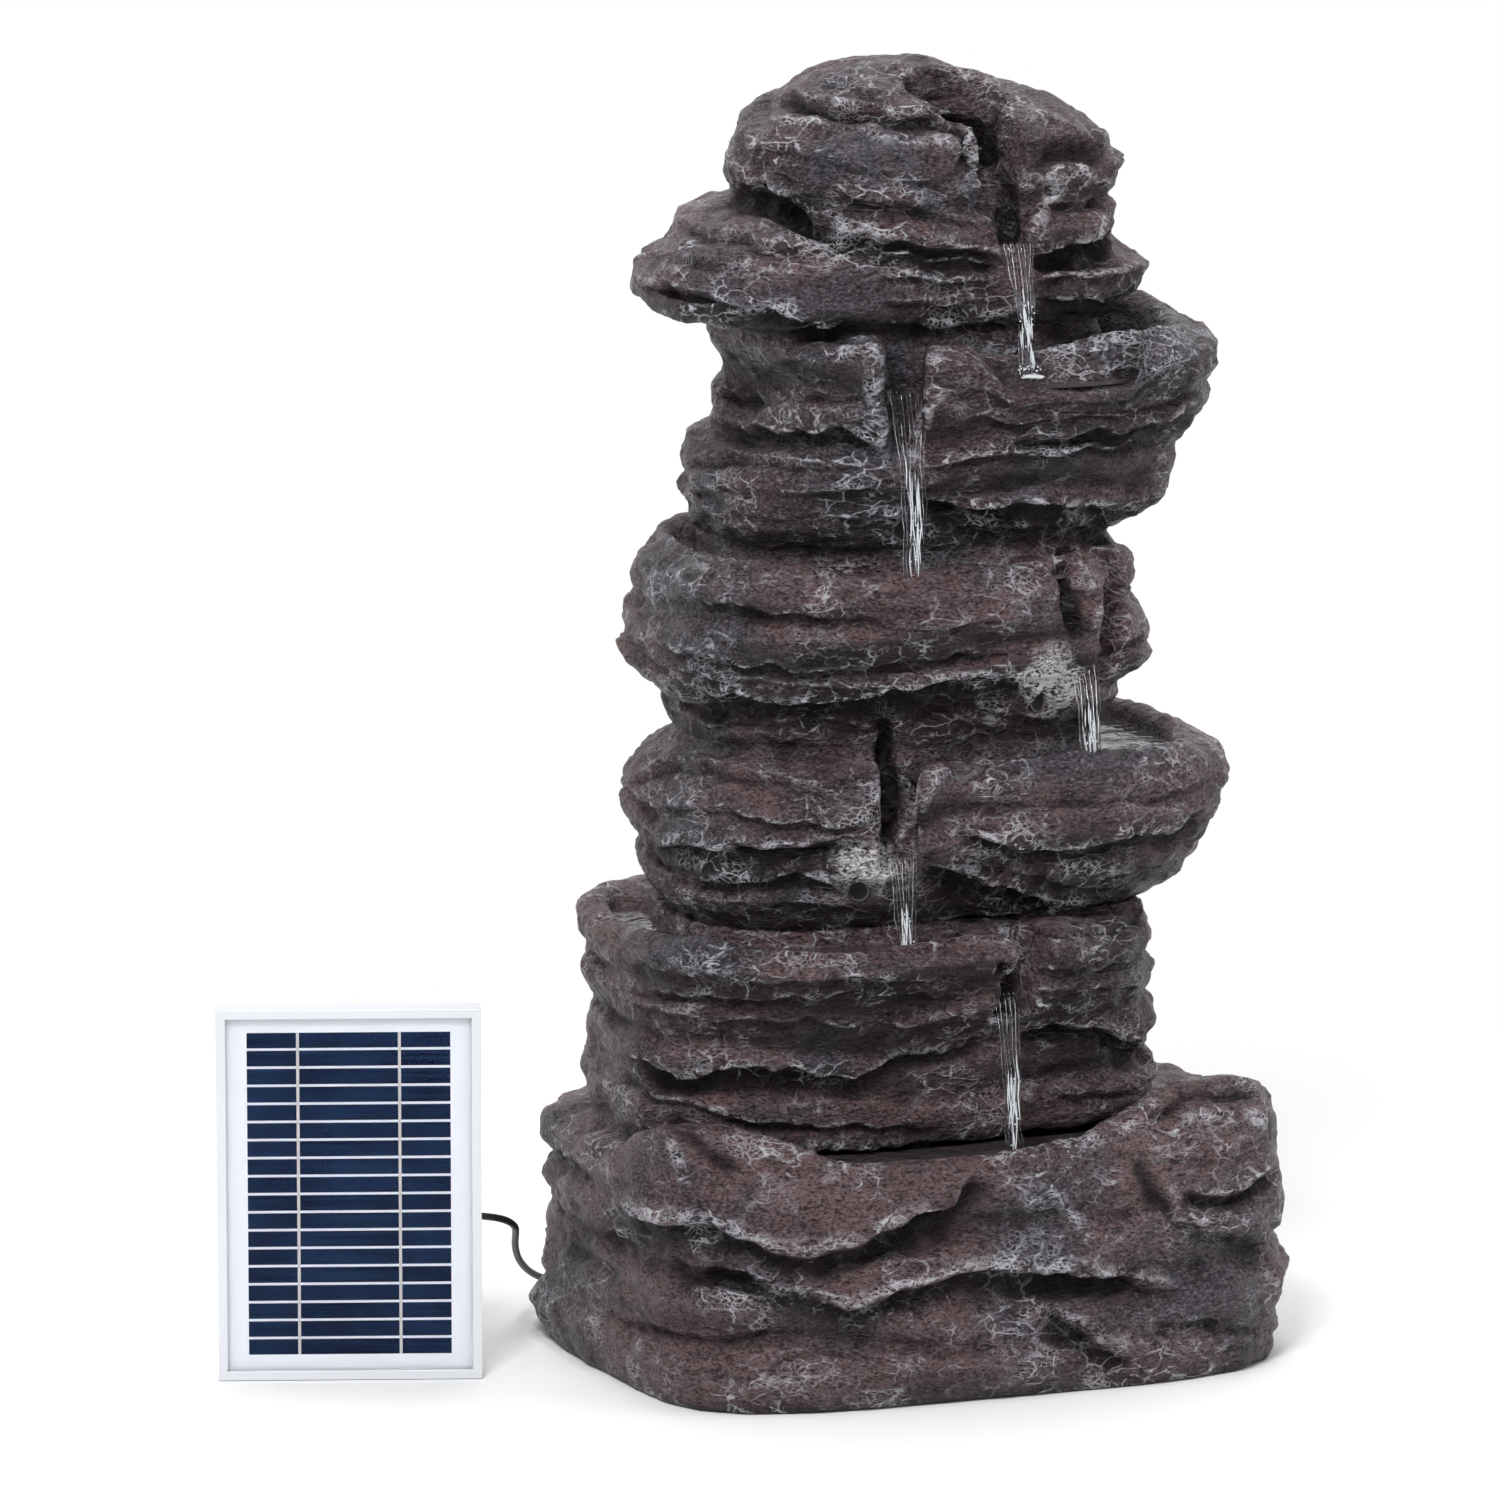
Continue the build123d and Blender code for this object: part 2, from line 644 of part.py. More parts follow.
def hatch_blocks(clearance):
    """The hatch's outer plate and its plug, shrunk all round by a clearance."""
    back = TOWER_AXIS_Y + reach(pi / 2, sides_at(LOWER_TIER_SHARES, 0.5), TOWER_BOW)
    step_y = back - HATCH_REBATE
    middle_z = LOWER_Z + HATCH_SILL + HATCH_HEIGHT / 2
    plate = Box(
        HATCH_WIDTH - 2 * clearance,
        2 * CUT_OVERRUN,
        HATCH_HEIGHT - 2 * clearance,
        align=FACING_BACK,
    )
    plug = Box(
        HATCH_WIDTH - 2 * HATCH_STOP - 2 * clearance,
        CUT_OVERRUN,
        HATCH_HEIGHT - 2 * HATCH_STOP - 2 * clearance,
        align=(Align.CENTER, Align.MAX, Align.CENTER),
    )
    return Pos(0, step_y + clearance, middle_z) * plate, Pos(0, step_y + clearance, middle_z) * plug


def grommet_face():
    """Frame on the rock's back where the grommet's flange seats, its Z running backwards."""
    _, right, _, behind = sides_at(LOWER_TIER_SHARES, (GROMMET_Z - LOWER_Z) / LOWER_TIER_HEIGHT)
    back = TOWER_AXIS_Y + behind * (1 - (GROMMET_X / right) ** TOWER_BOW) ** (1 / TOWER_BOW)
    return Plane(origin=(GROMMET_X, back, GROMMET_Z), z_dir=(0, 1, 0), x_dir=(1, 0, 0))


def grommet_cut():
    """Hole for the grommet with a flat seat for its flange."""
    hole = Cylinder(GROMMET_DIAMETER / 2, 2 * CUT_OVERRUN)
    seat = Cylinder(GROMMET_FLANGE_DIAMETER / 2 + SEAT_LEDGE, CUT_OVERRUN, align=UPWARDS)
    return grommet_face() * (hole + seat)


def make_rock():
    save("base_basin", basin())

    lower_whole = tier(
        LOWER_TIER_SHARES, LOWER_Z, LOWER_TIER_HEIGHT, TOWER_BOW,
        MIDDLE_RIGHT_TIER_SHARES, TOWER_BOW, LOWER_BOWL, LOWER_SPOUT,
    )
    plate_hole, plug_hole = hatch_blocks(0)
    plate, plug = hatch_blocks(HATCH_CLEARANCE)
    start = bowl_start(LOWER_SPOUT[0], MIDDLE_RIGHT_TIER_SHARES, TOWER_BOW, MIDDLE_RIGHT_Z)
    slot = spout_cut(LOWER_SPOUT, MIDDLE_RIGHT_Z, start, MIDDLE_RIGHT_Z - SPOUT_SILL)
    save("lower_tier", lower_whole - plate_hole - plug_hole - slot - grommet_cut())
    save("pump_hatch", lower_whole & (plate + plug))

    middle_right = tier(
        MIDDLE_RIGHT_TIER_SHARES, MIDDLE_RIGHT_Z, MIDDLE_RIGHT_TIER_HEIGHT, TOWER_BOW,
        MIDDLE_LEFT_TIER_SHARES, TOWER_BOW, MIDDLE_RIGHT_BOWL, MIDDLE_RIGHT_SPOUT,
    )
    start = bowl_start(MIDDLE_RIGHT_SPOUT[0], MIDDLE_LEFT_TIER_SHARES, TOWER_BOW, MIDDLE_LEFT_Z)
    slot = spout_cut(MIDDLE_RIGHT_SPOUT, MIDDLE_LEFT_Z, start, MIDDLE_LEFT_Z - SPOUT_SILL)
    save("middle_right_tier", middle_right - slot - lamp_hole(LAMP_FACES[1]))

    middle_left = tier(
        MIDDLE_LEFT_TIER_SHARES, MIDDLE_LEFT_Z, MIDDLE_LEFT_TIER_HEIGHT, TOWER_BOW,
        UPPER_TIER_SHARES, TOWER_BOW, MIDDLE_LEFT_BOWL, MIDDLE_LEFT_SPOUT,
    )
    start = bowl_start(MIDDLE_LEFT_SPOUT[0], UPPER_TIER_SHARES, TOWER_BOW, UPPER_Z)
    slot = spout_cut(MIDDLE_LEFT_SPOUT, UPPER_Z, start, UPPER_Z - SPOUT_SILL)
    save("middle_left_tier", middle_left - slot - lamp_hole(LAMP_FACES[0]))

    upper = tier(
        UPPER_TIER_SHARES, UPPER_Z, UPPER_TIER_HEIGHT, TOWER_BOW,
        SHOULDER_TIER_SHARES, TOWER_BOW, UPPER_BOWL, UPPER_SPOUT,
    )
    start = bowl_start(UPPER_SPOUT[0], SHOULDER_TIER_SHARES, TOWER_BOW, SHOULDER_Z)
    slot = spout_cut(UPPER_SPOUT, SHOULDER_Z, start, SHOULDER_Z - SPOUT_SILL)
    save("upper_tier", upper - slot - lamp_hole(LAMP_FACES[2]))

    shoulder = tier(
        SHOULDER_TIER_SHARES, SHOULDER_Z, SHOULDER_TIER_HEIGHT, TOWER_BOW,
        CROWN_SHARES, CROWN_BOW, NO_BOWL, CROWN_SPOUT,
    )
    pot_x, pot_y, pot_z = pot_place()
    slot = spout_cut(CROWN_SPOUT, CROWN_Z, POT_REACH, pot_z)
    save("shoulder_tier", shoulder - slot)
    pot = Pos(pot_x, pot_y, pot_z) * Cone(
        POT_BOTTOM_RADIUS, POT_TOP_RADIUS, CUT_OVERRUN, align=UPWARDS
    )
    hose_hole = Pos(pot_x, pot_y, CROWN_Z) * Cylinder(HOSE_DIAMETER / 2 + STATIC_CLEARANCE, CUT_OVERRUN)
    save("crown_rock", crown() - pot - slot - hose_hole)


# Spout lamps

def make_lamps():
    housings, lenses = [], []
    for face in LAMP_FACES:
        place = lamp_place(face)
        body = Cylinder(LAMP_DIAMETER / 2, LAMP_LENGTH, align=INWARDS)
        body -= Cylinder(LAMP_DIAMETER / 2 - LAMP_WALL, LAMP_LENS_THICKNESS, align=INWARDS)
        lens = Cylinder(LAMP_DIAMETER / 2 - LAMP_WALL, LAMP_LENS_THICKNESS, align=INWARDS)
        housings.append(place * body)
        lenses.append(place * lens)
    save("lamp_housings", *housings)
    save("lamp_lenses", *lenses)


# Pump, with its rotor along X and its outlet on top

CUP_TOP_Z = BASIN_FLOOR + CUP_HEIGHT
PUMP_AXIS_Z = CUP_TOP_Z + PUMP_HEIGHT / 2
PUMP_FACE_X = PUMP_X + PUMP_LENGTH / 2
VOLUTE_DIAMETER = IMPELLER_DIAMETER + 2 * VOLUTE_CLEARANCE
VOLUTE_DEPTH = ROTOR_CLEARANCE + IMPELLER_DISC + IMPELLER_BLADE_HEIGHT + VOLUTE_CLEARANCE
NOZZLE_X = PUMP_FACE_X - NOZZLE_BORE / 2 - VOLUTE_CLEARANCE
NOZZLE_Z = CUP_TOP_Z + PUMP_HEIGHT
WELL_LENGTH = ROTOR_LENGTH + 2 * ROTOR_CLEARANCE
WELL_END_X = PUMP_FACE_X - VOLUTE_DEPTH - WELL_LENGTH


def along_x(x, z=0.0):
    """Frame whose Z runs to the right along the pump's rotor axis."""
    return Plane(origin=(x, PUMP_Y, PUMP_AXIS_Z + z), z_dir=(1, 0, 0), x_dir=(0, 1, 0))


def pump_plan(thickness):
    return extrude(RectangleRounded(PUMP_WIDTH, PUMP_HEIGHT, PUMP_CORNER), thickness)


def cup_places():
    across = PUMP_LENGTH / 2 - CUP_INSET
    along = PUMP_WIDTH / 2 - CUP_INSET
    return [(PUMP_X + i * across, PUMP_Y + j * along) for i in (-1, 1) for j in (-1, 1)]


def make_pump():
    housing = along_x(PUMP_X - PUMP_LENGTH / 2) * pump_plan(PUMP_LENGTH)
    housing -= along_x(PUMP_FACE_X) * Cylinder(VOLUTE_DIAMETER / 2, VOLUTE_DEPTH, align=INWARDS)
    housing -= along_x(WELL_END_X) * Cylinder(
        ROTOR_DIAMETER / 2 + ROTOR_CLEARANCE, WELL_LENGTH + VOLUTE_DEPTH, align=UPWARDS
    )
    housing -= along_x(WELL_END_X) * Cylinder(BUSH_DIAMETER / 2, BUSH_LENGTH, align=INWARDS)
    rise = Cylinder(NOZZLE_BORE / 2, PUMP_HEIGHT / 2, align=UPWARDS)
    housing -= Pos(NOZZLE_X, PUMP_Y, PUMP_AXIS_Z) * rise
    for x, y in cup_places():
        housing -= Pos(x, y, CUP_TOP_Z) * Cylinder(CUP_STEM_DIAMETER / 2, CUP_STEM_LENGTH, align=UPWARDS)
    lead_hole = Cylinder(LEAD_DIAMETER / 2, 2 * CUP_STEM_LENGTH, align=UPWARDS)
    housing -= along_x(PUMP_X - PUMP_LENGTH / 2, CUP_INSET) * lead_hole
    save("pump_housing", housing)

    cups = []
    for x, y in cup_places():
        skirt = Cone(CUP_DIAMETER / 2, CUP_STEM_DIAMETER / 2, CUP_HEIGHT, align=UPWARDS)
        stem = Pos(0, 0, CUP_HEIGHT) * Cylinder(CUP_STEM_DIAMETER / 2, CUP_STEM_LENGTH, align=UPWARDS)
        cups.append(Pos(x, y, BASIN_FLOOR) * (skirt + stem))
    save("suction_cups", *cups)

    cover = along_x(PUMP_FACE_X) * pump_plan(VOLUTE_COVER_THICKNESS)
    holes = PolarLocations(INLET_HOLE_CIRCLE / 2, INLET_HOLES) * Cylinder(
        INLET_HOLE_DIAMETER / 2, 2 * VOLUTE_COVER_THICKNESS
    )
    cover -= along_x(PUMP_FACE_X) * Compound(children=list(holes))
    cover -= along_x(PUMP_FACE_X) * Cylinder(BUSH_DIAMETER / 2, BUSH_LENGTH, align=UPWARDS)
    save("volute_cover", cover)

    bush = Cylinder(BUSH_DIAMETER / 2, BUSH_LENGTH, align=INWARDS)
    bush -= Cylinder(SHAFT_DIAMETER / 2, BUSH_LENGTH, align=INWARDS)
    rear_bush = along_x(WELL_END_X) * bush
    front_bush = along_x(PUMP_FACE_X + BUSH_LENGTH) * bush
    save("shaft_bushes", rear_bush, front_bush)
    shaft_length = PUMP_FACE_X - WELL_END_X + 2 * BUSH_LENGTH
    shaft = Cylinder(SHAFT_DIAMETER / 2, shaft_length, align=UPWARDS)
    save("impeller_shaft", along_x(WELL_END_X - BUSH_LENGTH) * shaft)

    rotor_x = WELL_END_X + ROTOR_CLEARANCE
    turning_bore = SHAFT_DIAMETER / 2 + SHAFT_CLEARANCE
    sleeve_radius = ROTOR_DIAMETER / 2 - MAGNET_WALL
    magnet = Cylinder(ROTOR_DIAMETER / 2, ROTOR_LENGTH, align=UPWARDS)
    magnet -= Cylinder(sleeve_radius, ROTOR_LENGTH, align=UPWARDS)
    save("rotor_magnet", along_x(rotor_x) * magnet)
    disc_x = WELL_END_X + WELL_LENGTH + ROTOR_CLEARANCE
    impeller = along_x(rotor_x) * Cylinder(sleeve_radius, disc_x - rotor_x, align=UPWARDS)
    impeller += along_x(disc_x) * Cylinder(IMPELLER_DIAMETER / 2, IMPELLER_DISC, align=UPWARDS)
    hub_height = IMPELLER_DISC + IMPELLER_BLADE_HEIGHT
    impeller += along_x(disc_x) * Cylinder(SHAFT_DIAMETER + IMPELLER_BLADE, hub_height, align=UPWARDS)
    blade_length = IMPELLER_DIAMETER / 2 - SHAFT_DIAMETER
    blade = Pos(SHAFT_DIAMETER, 0, 0) * Box(
        blade_length, IMPELLER_BLADE, hub_height, align=(Align.MIN, Align.CENTER, Align.MIN)
    )
    blade &= Cylinder(IMPELLER_DIAMETER / 2, hub_height, align=UPWARDS)
    for k in range(IMPELLER_BLADES):
        impeller += along_x(disc_x) * Rot(0, 0, 360 * k / IMPELLER_BLADES) * blade
    impeller -= along_x(rotor_x) * Cylinder(turning_bore, disc_x - rotor_x + hub_height, align=UPWARDS)
    save("impeller", impeller)

    strainer_x = PUMP_FACE_X + VOLUTE_COVER_THICKNESS
    strainer = along_x(strainer_x) * pump_plan(STRAINER_DEPTH)
    hollow = extrude(
        RectangleRounded(
            PUMP_WIDTH - 2 * STRAINER_WALL, PUMP_HEIGHT - 2 * STRAINER_WALL, PUMP_CORNER - STRAINER_WALL
        ),
        STRAINER_DEPTH - STRAINER_WALL,
    )
    strainer -= along_x(strainer_x) * hollow
    slot = Box(STRAINER_SLOT, STRAINER_SLOT_LENGTH, 2 * STRAINER_WALL)
    for side in (-1, 1):
        for k in range(STRAINER_SLOTS_A_SIDE):
            across = side * (KNOB_DIAMETER / 2 + STRAINER_SLOT + k * STRAINER_SLOT_PITCH)
            strainer -= along_x(strainer_x + STRAINER_DEPTH) * Pos(across, 0, 0) * slot
    face_x = strainer_x + STRAINER_DEPTH
    strainer -= along_x(face_x) * Cylinder(KNOB_STEM_DIAMETER / 2 + KNOB_CLEARANCE, 2 * STRAINER_WALL)
    save("pump_strainer", strainer)

    knob = along_x(face_x + KNOB_CLEARANCE) * Cylinder(KNOB_DIAMETER / 2, KNOB_LENGTH, align=UPWARDS)
    grip = Box(KNOB_DIAMETER, KNOB_GRIP_WIDTH, KNOB_GRIP_HEIGHT, align=UPWARDS)
    knob += along_x(face_x + KNOB_CLEARANCE + KNOB_LENGTH) * grip
    stem_length = STRAINER_WALL + 2 * KNOB_CLEARANCE
    knob += along_x(face_x + KNOB_CLEARANCE) * Cylinder(KNOB_STEM_DIAMETER / 2, stem_length, align=INWARDS)
    clip = Cylinder(KNOB_CLIP_DIAMETER / 2, KNOB_CLIP_THICKNESS, align=INWARDS)
    knob += along_x(face_x - STRAINER_WALL - KNOB_CLEARANCE) * clip
    save("flow_knob", knob)

    nozzle = Cylinder(NOZZLE_FLANGE_DIAMETER / 2, NOZZLE_FLANGE, align=UPWARDS)
    nozzle += Cylinder(NOZZLE_DIAMETER / 2, NOZZLE_LENGTH, align=UPWARDS)
    nozzle -= Cylinder(NOZZLE_BORE / 2, NOZZLE_LENGTH, align=UPWARDS)
    save("pump_outlet_nozzle", Pos(NOZZLE_X, PUMP_Y, NOZZLE_Z) * nozzle)


# Hose and leads, swept along straight runs joined by tangent arcs

def corner_radii(points):
    """Largest radius at each corner that its two runs allow."""
    radii = []
    for before, corner, after in zip(points, points[1:], points[2:]):
        coming = Vector(*corner) - Vector(*before)
        going = Vector(*after) - Vector(*corner)
        turn = radians(coming.get_angle(going))
        radii.append(0.45 * min(coming.length, going.length) / tan(turn / 2))
    return radii


def tube(points, diameter, bore=0.0, report=None):
    """Round tube along a route, and its length."""
    path = FilletPolyline(*points, radius=corner_radii(points))
    section = Plane(origin=points[0], z_dir=Vector(*points[1]) - Vector(*points[0])) * Circle(diameter / 2)
    solid = sweep(section, path=path)
    if report:
        radii = ", ".join(f"{radius:.0f}" for radius in corner_radii(points))
        share = solid.volume / (pi * diameter ** 2 / 4 * path.length)
        print(f"{report}: {path.length:.0f} long, volume share {share:.4f}, radii {radii}")
    if bore:
        inner = Plane(origin=points[0], z_dir=Vector(*points[1]) - Vector(*points[0])) * Circle(bore / 2)
        solid -= sweep(inner, path=path)
    return solid


def make_riser():
    pot_x, pot_y, pot_z = pot_place()
    hose_start = NOZZLE_Z + NOZZLE_FLANGE
    route = (
        (NOZZLE_X, PUMP_Y, hose_start),
        (NOZZLE_X, PUMP_Y, LOWER_Z),
        ((NOZZLE_X + pot_x) / 2, TOWER_AXIS_Y, MIDDLE_LEFT_Z),
        (pot_x, (TOWER_AXIS_Y + pot_y) / 2, UPPER_Z),
        (pot_x, pot_y, SHOULDER_Z),
        (pot_x, pot_y, pot_z),
    )
    save("riser_hose", tube(route, HOSE_DIAMETER, HOSE_BORE))
    outlet = Cylinder(OUTLET_FLANGE_DIAMETER / 2, OUTLET_FLANGE, align=UPWARDS)
    outlet += Cylinder(NOZZLE_DIAMETER / 2, OUTLET_RISE, align=UPWARDS)
    outlet += Cylinder(NOZZLE_DIAMETER / 2, OUTLET_SPIGOT, align=INWARDS)
    outlet -= Cylinder(OUTLET_BORE / 2, 2 * (OUTLET_RISE + OUTLET_SPIGOT))
    save("crown_outlet", Pos(pot_x, pot_y, pot_z) * outlet)


def make_leads():
    """Junction on the shelf inside the hatch, with the leads that meet in it."""
    x, y, z = JUNCTION_X, JUNCTION_Y, LOWER_Z + JUNCTION_DIAMETER / 2
    half = JUNCTION_LENGTH / 2
    junction = Cylinder(JUNCTION_DIAMETER / 2, JUNCTION_LENGTH, rotation=(0, 90, 0))
    save("cable_junction", Pos(x, y, z) * junction)

    back = grommet_face().origin.Y
    supply_start = back + GROMMET_FLANGE - CORD_GRIP
    bend = JUNCTION_DIAMETER
    supply = (
        (GROMMET_X, supply_start, GROMMET_Z),
        (GROMMET_X, supply_start - 1.5 * bend, GROMMET_Z),
        (GROMMET_X - bend, y - 2 * bend, (GROMMET_Z + z) / 2),
        (x + half + 2 * bend, y, z),
        (x + half, y, z),
    )
    save("supply_lead", tube(supply, LEAD_DIAMETER))

    pump_exit_x = PUMP_X - PUMP_LENGTH / 2 + 2 * CUP_STEM_LENGTH
    pump_exit_z = PUMP_AXIS_Z + CUP_INSET
    drop_x = PUMP_X - PUMP_LENGTH / 2 - 2 * bend
    pump_lead = (
        (pump_exit_x, PUMP_Y, pump_exit_z),
        (pump_exit_x - bend, PUMP_Y, pump_exit_z),
        (drop_x, PUMP_Y + bend, (pump_exit_z + z) / 2),
        (x, y - bend, z),
        (x, y - JUNCTION_DIAMETER / 2, z),
    )
    save("pump_lead", tube(pump_lead, LEAD_DIAMETER))

    leads = []
    for k, face in enumerate(LAMP_FACES):
        angle, distance, lamp_z = face
        port_x = x + half - (k + 1) * JUNCTION_LENGTH / (2 * len(LAMP_FACES))
        route = (
            at(angle, distance - LAMP_LENGTH, lamp_z),
            at(angle, distance - LAMP_LENGTH - bend, lamp_z),
            at(angle, distance / 2 - bend, lamp_z - bend),
            (port_x, y, z + 2 * bend),
            (port_x, y, z + JUNCTION_DIAMETER / 2),
        )
        leads.append(tube(route, LAMP_LEAD_DIAMETER))
    save("lamp_leads", *leads)

    face_y = back + GROMMET_FLANGE
    grommet = Cylinder(GROMMET_DIAMETER / 2, GROMMET_LENGTH, align=INWARDS)
    grommet += Cylinder(GROMMET_FLANGE_DIAMETER / 2, GROMMET_FLANGE, align=INWARDS)
    grommet -= Cylinder(CORD_DIAMETER / 2 + CORD_FIT, 2 * GROMMET_LENGTH)
    save("cable_grommet", grommet_face() * (Pos(0, 0, GROMMET_FLANGE) * grommet))
    return face_y


# Solar panel, standing upright. It is drawn facing the front, and each of its pieces is then
# turned with it about its own middle.

PANEL_BACK_Y = PANEL_FRONT_Y + PANEL_DEPTH
LAMINATE_Y = PANEL_FRONT_Y + RAIL_SKIN
CELL_Y = LAMINATE_Y + GLASS_THICKNESS
SHEET_Y = CELL_Y + CELL_THICKNESS + RIBBON_THICKNESS
LAMINATE_BACK_Y = SHEET_Y + BACKSHEET_THICKNESS
PANEL_MIDDLE_Z = PANEL_HEIGHT / 2
PANEL_TURN = Pos(PANEL_X, PANEL_FRONT_Y, 0) * Rot(0, 0, PANEL_YAW) * Pos(-PANEL_X, -PANEL_FRONT_Y, 0)


def save_turned(name, *solids):
    save(name, *(PANEL_TURN * solid for solid in solids))


def rail(length):
    """Aluminium rail along X: face lip, outer skin, shelf behind the laminate, back flange
    and a round screw boss in the hollow. It lies under the line z = 0, its face at y = 0."""
    shelf_y = LAMINATE_BACK_Y - PANEL_FRONT_Y
    outline = Polyline(
        (0, 0),
        (0, RAIL_FACE),
        (RAIL_SKIN, RAIL_FACE),
        (RAIL_SKIN, RAIL_SKIN),
        (shelf_y, RAIL_SKIN),
        (shelf_y, RAIL_FACE),
        (shelf_y + RAIL_SKIN, RAIL_FACE),
        (shelf_y + RAIL_SKIN, RAIL_SKIN),
        (PANEL_DEPTH - RAIL_SKIN, RAIL_SKIN),
        (PANEL_DEPTH - RAIL_SKIN, RAIL_FLANGE),
        (PANEL_DEPTH, RAIL_FLANGE),
        (PANEL_DEPTH, 0),
        close=True,
    )
    section = make_face(outline)
    boss_y = (shelf_y + RAIL_SKIN + PANEL_DEPTH - RAIL_SKIN) / 2
    boss = Pos(boss_y, FRAME_BOSS / 2) * Circle(FRAME_BOSS / 2)
    section = section + boss - Pos(boss_y, FRAME_BOSS / 2) * Circle(FRAME_SCREW_DIAMETER / 2)
    place = Plane(origin=(-length / 2, 0, 0), x_dir=(0, 1, 0), z_dir=(1, 0, 0))
    return place * extrude(section, length), boss_y


def make_panel():
    end_length = PANEL_WIDTH - 2 * RAIL_SKIN
    side, boss_y = rail(PANEL_HEIGHT)
    end, _ = rail(end_length)
    inner = PANEL_WIDTH / 2 - RAIL_SKIN
    side_relief = Pos(0, PANEL_DEPTH / 2, RAIL_SKIN) * Box(
        PANEL_HEIGHT, PANEL_DEPTH, PANEL_WIDTH, align=(Align.CENTER, Align.CENTER, Align.MIN)
    )
    corner = side & side_relief
    for at_end in (-1, 1):
        side -= Pos(at_end * (PANEL_HEIGHT / 2 - RAIL_FLANGE / 2), 0, 0) * (
            corner & Box(RAIL_FLANGE, 2 * PANEL_DEPTH, 2 * PANEL_WIDTH)
        )
    middle = Pos(PANEL_X, PANEL_FRONT_Y, PANEL_MIDDLE_Z)
    screws = []
    head = Cone(FRAME_SCREW_DIAMETER / 2, FRAME_SCREW_HEAD / 2, RAIL_SKIN, align=INWARDS)
    screw = Cylinder(FRAME_SCREW_DIAMETER / 2, FRAME_SCREW_LENGTH, align=INWARDS) + head
    for turn in (90, -90):
        placed = Rot(0, turn, 0) * Pos(0, 0, -PANEL_WIDTH / 2) * side
        for level in (-1, 1):
            outward = (1 if turn == -90 else -1, 0, 0)
            origin = (outward[0] * PANEL_WIDTH / 2, boss_y, level * (PANEL_HEIGHT / 2 - FRAME_BOSS / 2))
            at_screw = Plane(origin=origin, z_dir=outward, x_dir=(0, 1, 0))
            placed -= at_screw * screw
            screws.append(middle * (at_screw * screw))
        save_turned("panel_frame_left" if turn == 90 else "panel_frame_right", middle * placed)
    save_turned("panel_frame_bottom", middle * Pos(0, 0, -PANEL_HEIGHT / 2) * end)
    save_turned("panel_frame_top", middle * Pos(0, 0, PANEL_HEIGHT / 2) * mirror(end, Plane.XY))
    save_turned("frame_screws", *screws)

    sheet_width = PANEL_WIDTH - 2 * RAIL_SKIN
    sheet_height = PANEL_HEIGHT - 2 * RAIL_SKIN
    glass = Box(sheet_width, GLASS_THICKNESS, sheet_height, align=FACING_BACK)
    save_turned("panel_glass", Pos(PANEL_X, LAMINATE_Y, PANEL_MIDDLE_Z) * glass)
    pool_depth = CELL_THICKNESS + RIBBON_THICKNESS
    backsheet = Box(sheet_width, BACKSHEET_THICKNESS + pool_depth, sheet_height, align=FACING_BACK)
    field_height = (CELL_COUNT - 1) * CELL_PITCH + CELL_HEIGHT
    backsheet -= Box(CELL_WIDTH, pool_depth, field_height, align=FACING_BACK)
    save_turned("panel_backsheet", Pos(PANEL_X, CELL_Y, PANEL_MIDDLE_Z) * backsheet)
    cells, ribbons = [], []
    for k in range(CELL_COUNT):
        z = PANEL_MIDDLE_Z + (k - (CELL_COUNT - 1) / 2) * CELL_PITCH
        cell = Box(CELL_WIDTH, CELL_THICKNESS, CELL_HEIGHT, align=FACING_BACK)
        cells.append(Pos(PANEL_X, CELL_Y + RIBBON_THICKNESS, z) * cell)
    save_turned("solar_cells", *cells)
    for side_sign in (-1, 1):
        x = PANEL_X + side_sign * CELL_WIDTH * (0.5 - RIBBON_SHARE)
        ribbon = Box(RIBBON_WIDTH, RIBBON_THICKNESS, field_height, align=FACING_BACK)
        ribbons.append(Pos(x, CELL_Y, PANEL_MIDDLE_Z) * ribbon)
    save_turned("cell_ribbons", *ribbons)


# Control box on the back of the panel

BOX_BACK_Y = LAMINATE_BACK_Y + BOX_DEPTH
BOX_MIDDLE_Z = BOX_BOTTOM_Z + BOX_HEIGHT / 2
BUTTON_Z = BOX_BOTTOM_Z + BOX_HEIGHT - BOX_WALL - BOARD_HEIGHT / 2 - BATTERY_GAP
BOARD_FRONT_Y = LAMINATE_BACK_Y + BOX_WALL + BOARD_POST


def facing_back(x, y, z):
    """Frame whose Z runs towards the back."""
    return Plane(origin=(x, y, z), z_dir=(0, 1, 0), x_dir=(1, 0, 0))


def box_corners():
    across = BOX_WIDTH / 2 - LID_SCREW_INSET
    up = BOX_HEIGHT / 2 - LID_SCREW_INSET
    return [(PANEL_X + i * across, BOX_MIDDLE_Z + j * up) for i in (-1, 1) for j in (-1, 1)]


